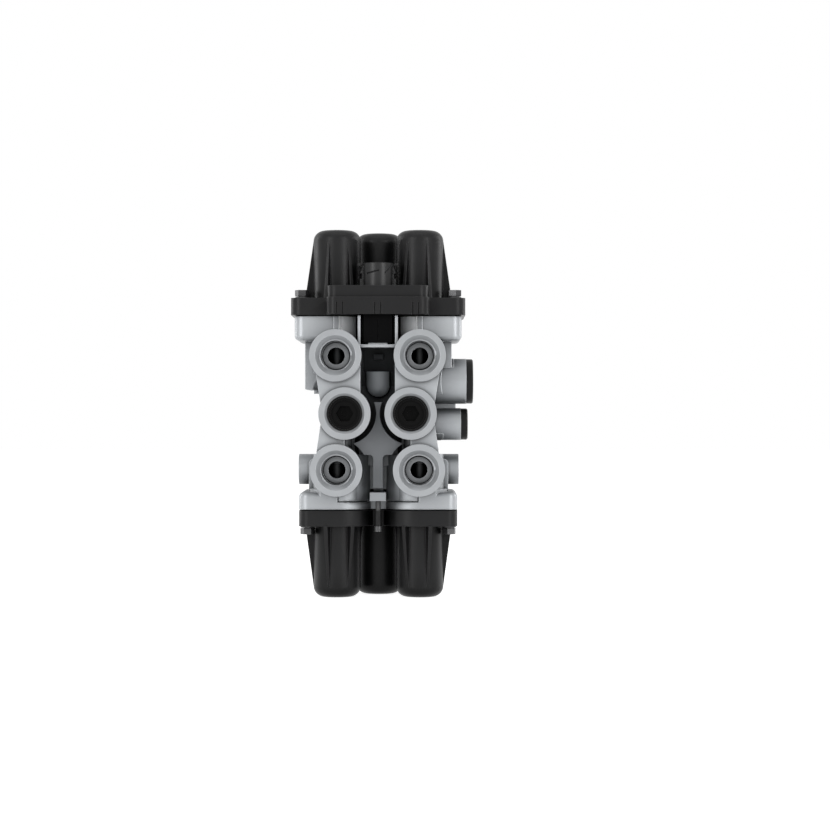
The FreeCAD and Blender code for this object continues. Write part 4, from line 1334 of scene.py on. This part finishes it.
    def ring_sectors(self) -> list[bpy.types.Object]:
        """Inner sectors of the six port bosses, over the edges of the recess."""
        depth = self.boss_face - self.valley_floor
        inside, outside = self.thread_radius + 2.5 * self.gap, self.boss_radius + self.gap / 2
        profile = [
            (inside + self.sector_cone[0], self.sector_start), (outside, self.sector_start), (outside, depth),
            (inside, depth), (inside, self.sector_cone[1]),
        ]
        sectors = []
        for foot in self.port_feet(self.boss_face):
            ring = Mould(turned(profile, Heading.FRONT, foot))
            side = mirrored(math.copysign(1, foot[0]), 0, self.recess_half + self.sector_lap)
            height = (foot[2] - self.sector_reach, foot[2] + self.sector_reach)
            ring.change(Change.KEEP, block(side, (self.room, self.sector_rear), height))
            sectors.append(ring.settle())
        return sectors

    def rings(self) -> list[bpy.types.Object]:
        """Whole front ends of the six port bosses with their cones."""
        inside, outside = self.thread_radius + 1.5 * self.gap, self.boss_radius + self.gap
        profile = [
            (self.mouth_radius, 0.0), (outside, 0.0), (outside, -self.ring_depth),
            (inside, -self.ring_depth), (inside, inside - self.mouth_radius),
        ]
        return [turned(profile, Heading.FRONT, foot) for foot in self.port_feet(self.boss_face)]

    def grooves(self) -> list[bpy.types.Object]:
        """Line round the lower window and the hole of the centre screw."""
        line = self.space(self.window_half, self.valley_floor,
                          (self.lobe_y, self.lobe_radius - self.window_step - self.line_depth),
                          (self.window_low, self.window_low + self.line_width))
        forms = [line.settle()]
        depth = (self.flange_front - self.lap, self.flange_front + self.window_step + self.line_depth)
        for sign in (-1, 1):
            side = mirrored(sign, self.window_half, self.window_half - self.line_width)
            forms.append(block(side, depth, (self.window_low, self.line_high)))
        forms.append(self.screw_way())
        return forms

    def screw_way(self) -> bpy.types.Object:
        """Way of the centre screw through cover and casting."""
        low, high = self.screw_z
        return rod(Heading.UP, (0, self.nib_y, low), self.screw_hole, high - low, 32)

    def shape_casting(self, piece: bpy.types.Object) -> None:
        """Give the casting its front."""
        mould = Mould(piece)
        mould.change(Change.CUT, *self.openings())
        mould.change(Change.ADD, *self.growths())
        mould.change(Change.CUT, *self.grooves())
        mould.settle()

    def shape_cover(self, piece: bpy.types.Object) -> None:
        """Give the lower cover its valley and nib."""
        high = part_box("lower_cover")[1].z / MM
        lobe = (self.lobe_y, self.lobe_radius + self.flange_front - self.cover_front)
        z = (self.cover_low, self.base + self.lap)
        mould = Mould(piece)
        mould.change(Change.CUT, block((-self.flange_half, self.flange_half),
                                       (self.room, self.cover_front), z))
        mould.change(Change.CUT, self.space(self.bore_x, self.valley_floor, lobe, z).settle())
        mould.change(Change.ADD, *self.nib(self.cover_low, high))
        mould.change(Change.CUT, self.screw_way())
        mould.settle()

    def shape_gasket(self, piece: bpy.types.Object, side: Side) -> None:
        """Fit a gasket to the front of the casting."""
        if side is Side.UPPER:
            lobe = (self.bore_y, self.column_radius)
            space = self.space(self.upper_window_half, self.recess_floor, lobe,
                               (self.gasket_foot, -self.below))
            forms = [space.settle()]
        else:
            lobe = (self.lobe_y, self.lobe_radius - self.gasket_inset)
            z = (self.below, -self.gasket_foot)
            floor = self.valley_floor + self.gasket_inset
            front = self.flange_front + self.gasket_inset
            forms = [self.space(self.bore_x, floor, lobe, z).settle(),
                     block((-self.flange_half, self.flange_half), (self.room, front), z)]
        Mould(piece).change(Change.CUT, *forms).settle()


@dataclass
class Casting:
    """The die-cast body with its cut faces and threads."""

    shop: Workshop
    front: Front = field(default_factory=Front)
    port_face: float = -100.0 * MM
    bore_reach: float = 13.2 * MM
    bore_depth: float = 20 * MM
    boss_near: float = 16.6 * MM
    boss_far: float = 16.9 * MM
    port_thread_radius: float = 10.3 * MM
    port_thread_start: float = 3.0 * MM
    port_thread_turns: float = 9.0
    fixing_face: float = 53.1 * MM
    fixing_place: Vector = field(default_factory=lambda: Vector((0.0, -45.0, -36.9)) * MM)
    mount_half: Vector = field(default_factory=lambda: Vector((25.0, 0.0, 28.0)) * MM)
    hole_radius: float = 4.25 * MM
    hole_start: float = 1.0 * MM
    hole_turns: float = 8.0
    coarse_pitch: float = 1.5 * MM
    thread_depth: float = 0.75 * MM
    flat_gap: float = 0.02 * MM
    # Zones of the front where the cast alloy is swapped for copies with painted shade, or for one with
    # painted light on the columns.
    land_half: float = 17.0 * MM
    land_front_y: float = -84.5 * MM
    land_rear_y: float = -40.0 * MM
    land_high_z: float = 42.0 * MM
    land_low_z: float = -50.0 * MM
    valley_half: float = 5.3 * MM
    recess_y: float = -72.0 * MM
    recess_low_z: float = -27.0 * MM
    star_y: float = -83.0 * MM
    star_high_z: float = 8.0 * MM
    column_near_x: float = 14.5 * MM
    column_far_x: float = 25.5 * MM

    def build(self) -> None:
        """Make the casting and its threads."""
        self.body()
        self.port_threads()
        self.hole_threads()

    def ports(self) -> list[Vector]:
        """Centres of the six front ports in their face, in metres and from the top row down."""
        return [
            Vector((sign * x * MM, self.port_face, z * MM)) for x, z in self.front.ports for sign in (-1, 1)
        ]

    def body(self) -> bpy.types.Object:
        """Smooth copy of the body with its shaped front, each face in the finish of its place, with painted
        shade and painted light on parts of the front.

        Returns:
            The new piece.
        """
        piece = traced_copy("valve_body", "body_casting")
        self.front.shape_casting(piece)
        mesh = piece.data
        palette = self.shop.palette
        finishes = (CAST_ALLOY, MACHINED_ALLOY, LAND_SHADE_ALLOY, VALLEY_SHADE_ALLOY, RECESS_SHADE_ALLOY, COLUMN_LIT_ALLOY)
        paint(piece, *[palette.material(finish) for finish in finishes])
        radius = mesh.attributes.new("turn_radius", "FLOAT", "POINT")
        centres = self.ports()
        for point in mesh.vertices:
            radius.data[point.index].value = self._port_reach(point.co, centres)
        low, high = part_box("valve_body")
        for face in mesh.polygons:
            cut = self._machined(face.center, low, high, centres)
            # Faces in the front's zones take painted shade or painted light in place of the plain cast alloy.
            finish = MACHINED_ALLOY if cut else self._cast_or_painted_light(face.center, centres)
            face.material_index = finishes.index(finish)
        smooth(piece)
        return finished(piece, "cast_alloy", "valve_body")

    @staticmethod
    def _port_reach(place: Vector, centres: list[Vector]) -> float:
        """Distance from a place to the axis of the nearest front port."""
        return min(math.hypot(place.x - centre.x, place.z - centre.z) for centre in centres)

    def _cast_or_painted_light(self, place: Vector, centres: list[Vector]) -> Finish:
        """Finish of a place on the raw casting, with painted shade on star, valley and recess, and painted
        light on the columns.

        Args:
            place: Middle of a face.
            centres: Centres of the front ports.

        Returns:
            The finish.
        """
        side = abs(place.x)
        on_boss = self.boss_near < self._port_reach(place, centres) < self.boss_far
        if place.y > self.land_rear_y or on_boss:
            return CAST_ALLOY
        if place.z > self.land_high_z:
            return COLUMN_LIT_ALLOY if self.column_near_x < side < self.column_far_x else CAST_ALLOY
        if place.z > self.land_low_z and side < self.land_half and place.y > self.land_front_y:
            if place.z > self.recess_low_z and place.y > self.recess_y:
                return RECESS_SHADE_ALLOY
            return LAND_SHADE_ALLOY if place.y < self.star_y and place.z < self.star_high_z else VALLEY_SHADE_ALLOY
        if place.z < self.land_low_z and side < self.valley_half:
            return VALLEY_SHADE_ALLOY
        return CAST_ALLOY

    def _machined(self, place: Vector, low: Vector, high: Vector, centres: list[Vector]) -> bool:
        """Whether a place was cut: port faces and bores, the mounting face and the joints.

        Args:
            place: Middle of a face.
            low: Lowest corner of the body.
            high: Highest corner of the body.
            centres: Centres of the front ports.

        Returns:
            True for a cut face.
        """
        if place.y < self.port_face + self.flat_gap or place.y > high.y - self.flat_gap:
            return True
        if place.z > high.z - self.flat_gap or place.z < low.z + self.flat_gap:
            return True
        if place.y > self.port_face + self.bore_depth:
            return False
        return self._port_reach(place, centres) < self.bore_reach

    def port_threads(self) -> bpy.types.Object:
        """Threads of the four open front ports.

        Returns:
            The new piece.
        """
        starts = [centre + Vector((0, self.port_thread_start, 0)) for centre in self.ports() if centre.z]
        piece = self.shop.ridges.grow(
            "front_port_threads", starts, Heading.FRONT, self.shop.palette.material(MACHINED_ALLOY),
            radius=self.port_thread_radius, pitch=self.coarse_pitch, turns=self.port_thread_turns,
            ridge_radius=self.thread_depth, ridge_corners=3, steps=40,
        )
        smooth(piece)
        return finished(piece, "cast_alloy")

    def hole_threads(self) -> None:
        """Threads of the rear mounting holes and the two side fixing holes."""
        rear = [
            Vector((x * self.mount_half.x, -self.hole_start, z * self.mount_half.z))
            for x in (-1, 1) for z in (-1, 1)
        ]
        rows = [("rear_mount_threads", rear, Heading.REAR)]
        for word, heading, sign in (("left", Heading.LEFT, -1), ("right", Heading.RIGHT, 1)):
            start = self.fixing_place + Vector((sign * (self.fixing_face - self.hole_start), 0, 0))
            rows.append((f"{word}_fixing_thread", [start], heading))
        for name, starts, heading in rows:
            piece = self.shop.ridges.grow(
                name, starts, heading, self.shop.palette.material(MACHINED_ALLOY), radius=self.hole_radius,
                pitch=self.coarse_pitch, turns=self.hole_turns, ridge_radius=self.thread_depth,
                ridge_corners=3, steps=28,
            )
            smooth(piece)
            finished(piece, "cast_alloy")


@dataclass
class Cover:
    """One moulded cover with its gasket and screws."""

    shop: Workshop
    side: Side
    flat_radius: float = 4.75 * MM
    flange_radius: float = 4.9 * MM
    flange_height: float = 1.0 * MM
    head_height: float = 4.4 * MM
    shank_radius: float = 2.4 * MM
    screw_turn: float = 0.7

    def build(self) -> None:
        """Make the cover, dress its gasket and place its screws."""
        word = self.side.word
        front = Front()
        cover = traced_copy(f"{word}_cover", f"{word}_cover_moulding")
        if self.side is Side.LOWER:
            front.shape_cover(cover)
        self.shop.finish(cover, COVER_PLASTIC, "cover_plastic", f"{word}_cover", crease=38.0)
        gasket = traced_copy(f"{word}_gasket", f"{word}_joint_sheet")
        front.shape_gasket(gasket, self.side)
        self.shop.finish(gasket, RUBBER, "rubber", f"{word}_gasket")
        self.screws()

    def screws(self) -> bpy.types.Object:
        """Hexagon flange screws where the frame has them.

        Returns:
            The new piece.
        """
        node = f"{self.side.word}_cover_screws"
        heights = self.flange_height + self.head_height
        points = []
        length = 0.0
        for low, high in islands(node):
            middle = (low + high) / 2
            bearing = high.z - heights if self.side is Side.UPPER else low.z + heights
            points.append(Vector((middle.x, middle.y, bearing)))
            length = high.z - low.z - heights
        piece = self.shop.screws.grow(
            f"{self.side.word}_flange_screws", points,
            Heading.UP if self.side is Side.UPPER else Heading.DOWN,
            self.shop.palette.material(SCREW_STEEL), spin=self.screw_turn, flat_radius=self.flat_radius,
            head_height=self.head_height, flange_radius=self.flange_radius,
            flange_height=self.flange_height, shank_radius=self.shank_radius, shank_length=length,
        )
        smooth(piece)
        return finished(piece, "screw_steel", node)


@dataclass
class Fittings:
    """Plugs, caps and the centre screw."""

    shop: Workshop

    def build(self) -> None:
        """Show smooth copies of the small turned pieces."""
        for hand in ("left", "right"):
            self.shop.copy(f"{hand}_port_plug", f"{hand}_hexagon_plug", PLUG_PLASTIC, "plug_plastic")
            self.shop.copy(f"{hand}_plug_seal", f"{hand}_plug_ring", RUBBER, "rubber")
        for word in ("supply", "auxiliary"):
            self.shop.copy(f"{word}_port_cap", f"{word}_cap", CAP_PLASTIC, "cap_plastic")
        self.shop.copy("centre_screw", "slim_centre_screw", SCREW_STEEL, "screw_steel")


@dataclass
class Sensor:
    """Sensor module, its bayonet connector and the contact pins; lengths in millimetres."""

    shop: Workshop
    centre: Place = (0.0, -77.0, 83.0)
    barrel: float = 10.7
    bore: float = 8.3
    height: float = 15.0
    floor: float = 4.0
    ear: float = 13.0
    ear_sweep: float = 56.0
    ear_notch: float = 11.6
    ear_notch_z: Span = (4.8, 8.2)
    waist: float = 11.3
    waist_drop: float = 3.2
    tip_drop: float = 1.6
    lug: float = 13.2
    lug_sweep: float = 15.0
    lug_height: float = 1.5
    groove: float = 0.55
    entry_turn: Span = (-65.0, -30.0)
    entry_rise: Span = (8.3, 14.3)
    lock_turn: Span = (-133.0, -85.0)
    lock_rise: Span = (8.0, 10.0)
    pin_circle: float = 4.4
    pin_radius: float = 1.15
    pin_hole: Span = (-2.0, 4.0)

    def connector(self) -> bpy.types.Object:
        """Open barrel with two notched ears, two lugs and helical grooves.

        Returns:
            The new piece.
        """
        inner = (self.barrel + self.bore) / 2
        top = self.height
        ear = [
            (inner, 0.0), (self.ear, 0.0), (self.ear, self.ear_notch_z[0]),
            (self.ear_notch, self.ear_notch_z[0]), (self.ear_notch, self.ear_notch_z[1]),
            (self.ear, self.ear_notch_z[1]), (self.waist, top - self.waist_drop),
            (self.barrel, top - self.tip_drop), (inner, top - self.tip_drop),
        ]
        lug_foot = top - self.lug_height
        lug = [(inner, lug_foot), (self.lug, lug_foot), (self.lug, top), (inner, top)]
        barrel = rod(Heading.UP, self.centre, self.barrel, top)
        barrel.name = barrel.data.name = "bayonet_connector"
        mould = Mould(barrel)
        for turn in (0.0, 180.0):
            for profile, sweep in ((ear, self.ear_sweep), (lug, self.lug_sweep)):
                form = turned(profile, Heading.UP, self.centre, turn - sweep / 2, sweep, 24)
                mould.change(Change.ADD, form)
        for turn in (0.0, 180.0):
            for angles, heights in ((self.entry_turn, self.entry_rise), (self.lock_turn, self.lock_rise)):
                span = (angles[0] + turn, angles[1] + turn)
                mould.change(Change.CUT, helical_bar(span, heights, self.centre, self.barrel, self.groove))
        x, y, z = self.centre
        mould.change(Change.CUT, rod(Heading.UP, (x, y, z + self.floor), self.bore, top))
        foot_z = z + self.floor + self.pin_hole[0]
        for across, along in ((1, 0), (-1, 0), (0, 1), (0, -1)):
            foot = (x + across * self.pin_circle, y + along * self.pin_circle, foot_z)
            mould.change(Change.CUT, rod(Heading.UP, foot, self.pin_radius, self.pin_hole[1], 32))
        return mould.settle()

    def build(self) -> None:
        """Show the sensor's pieces."""
        self.shop.copy("sensor_module", "sensor_housing", SENSOR_PLASTIC, "sensor_plastic")
        self.shop.finish(self.connector(), CONNECTOR_PLASTIC, "connector_plastic", "sensor_connector")
        self.shop.copy("connector_pins", "contact_pins", PIN_METAL, "pin_metal")


@dataclass
class Station:
    """Inner pieces of one valve, which stay as the frame has them."""

    shop: Workshop
    name: str

    def build(self) -> None:
        """Give each inner piece its finish."""
        for word, finish in (
            ("valve_disc", RUBBER),
            ("piston", PISTON_ALLOY),
            ("piston_seal", RUBBER),
            ("spring_plate", PLATE_STEEL),
            ("spring", SPRING_STEEL),
        ):
            self.shop.dress(f"{self.name}_{word}", finish)


@dataclass
class Softbox:
    """One rectangular studio light."""

    name: str
    place: Place
    width: float
    height: float
    power: float

    def build(self, target: Vector) -> None:
        """Add the light, aimed at a target.

        Args:
            target: Point that the light faces.
        """
        lamp = bpy.data.lights.new(self.name, "AREA")
        lamp.shape = "RECTANGLE"
        lamp.size = self.width
        lamp.size_y = self.height
        lamp.energy = self.power
        holder = bpy.data.objects.new(self.name, lamp)
        holder.location = self.place
        holder.rotation_euler = (target - Vector(self.place)).to_track_quat("-Z", "Y").to_euler()
        holder.visible_camera = False
        bpy.context.scene.collection.objects.link(holder)


@dataclass
class Studio:
    """Pale floor, white surroundings, soft lights and the photograph's camera."""

    floor_half: float = 6.0
    floor_gap: float = 0.2 * MM
    floor_glow: float = 0.85
    world_light: float = 0.30
    camera_place: Place = (24.1 * MM, -1512.0 * MM, -0.9 * MM)
    lens: float = 95.3
    sensor: float = 36.0

    def build(self) -> None:
        """Set up everything that isn't the object."""
        low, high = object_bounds()
        self.floor(low.z - self.floor_gap)
        self.world()
        middle = (low + high) / 2
        for softbox in (
            Softbox("left_front", (-1.0, -1.4, 0.3), 0.4, 1.6, 13.0),
            Softbox("right_front", (1.0, -1.4, 0.3), 0.4, 1.6, 13.0),
            Softbox("left_rim", (-1.4, 0.6, 0.2), 0.5, 1.6, 8.0),
            Softbox("right_rim", (1.4, 0.6, 0.2), 0.5, 1.6, 8.0),
            Softbox("top_bank", (0.0, -0.4, 1.7), 1.6, 0.9, 4.0),
        ):
            softbox.build(middle)
        self.camera()

    def floor(self, height: float) -> None:
        """Pale floor that the camera sees as white apart from the shadow.

        Args:
            height: Level of the floor.
        """
        half = self.floor_half
        mesh = bpy.data.meshes.new("floor")
        mesh.from_pydata([(-half, -half, height), (half, -half, height), (half, half, height),
                          (-half, half, height)], [], [(0, 1, 2, 3)])
        plane = shown("floor", mesh)
        material = bpy.data.materials.new("pale_floor")
        material.use_nodes = True
        material.node_tree.nodes.clear()
        graph = NodeGraph(material.node_tree)
        matt = graph.add("ShaderNodeBsdfDiffuse", {"Color": (0.82, 0.82, 0.82, 1.0)})
        path = graph.add("ShaderNodeLightPath")
        seen = graph.maths("MAXIMUM", path.outputs["Is Camera Ray"], path.outputs["Is Glossy Ray"])
        glow = graph.add("ShaderNodeEmission", {"Strength": graph.maths("MULTIPLY", seen, self.floor_glow)})
        both = graph.add("ShaderNodeAddShader", {0: matt.outputs[0], 1: glow.outputs[0]})
        graph.add("ShaderNodeOutputMaterial", {"Surface": both.outputs[0]})
        paint(plane, material)
        plane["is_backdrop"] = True

    def world(self) -> None:
        """White to the camera and in reflections, and a plain soft light to the rest."""
        world = bpy.data.worlds.new("white_studio")
        bpy.context.scene.world = world
        world.use_nodes = True
        world.node_tree.nodes.clear()
        graph = NodeGraph(world.node_tree)
        path = graph.add("ShaderNodeLightPath")
        seen = graph.maths("MAXIMUM", path.outputs["Is Camera Ray"], path.outputs["Is Glossy Ray"])
        seen = graph.maths("MAXIMUM", seen, path.outputs["Is Transmission Ray"])
        strength = graph.add("ShaderNodeMapRange", {"Value": seen, "To Min": self.world_light, "To Max": 1.0})
        backdrop = graph.add(
            "ShaderNodeBackground", {"Color": (1.0, 1.0, 1.0, 1.0), "Strength": strength.outputs["Result"]}
        )
        graph.add("ShaderNodeOutputWorld", {"Surface": backdrop.outputs[0]})

    def camera(self) -> None:
        """Camera straight in front, as far off as the photograph's."""
        view = bpy.data.cameras.new("front_camera")
        view.lens = self.lens
        view.sensor_width = self.sensor
        view.clip_start = 0.05
        view.clip_end = 50.0
        holder = bpy.data.objects.new("front_camera", view)
        holder.location = self.camera_place
        holder.rotation_euler = Euler((math.pi / 2, 0.0, 0.0))
        bpy.context.scene.collection.objects.link(holder)
        bpy.context.scene.camera = holder
        bpy.context.scene.view_settings.view_transform = "Standard"


def corners() -> list[list[float]]:
    """Lowest and highest corner of what is shown, as plain lists."""
    return [list(corner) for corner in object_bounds()]


def main() -> None:
    """Build every sub-assembly and the studio."""
    logging.basicConfig(level=logging.INFO, format="%(message)s")
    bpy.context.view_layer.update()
    shop = Workshop()
    assemblies: list[object] = [Casting(shop)]
    assemblies += [Cover(shop, side) for side in Side]
    assemblies += [Fittings(shop), Sensor(shop)]
    for row in ("upper", "lower"):
        assemblies += [Station(shop, f"{column}_{row}") for column in ("left", "right", "rear")]
    for assembly in assemblies:
        assembly.build()
    Studio().build()


if __name__ == "__main__":
    main()
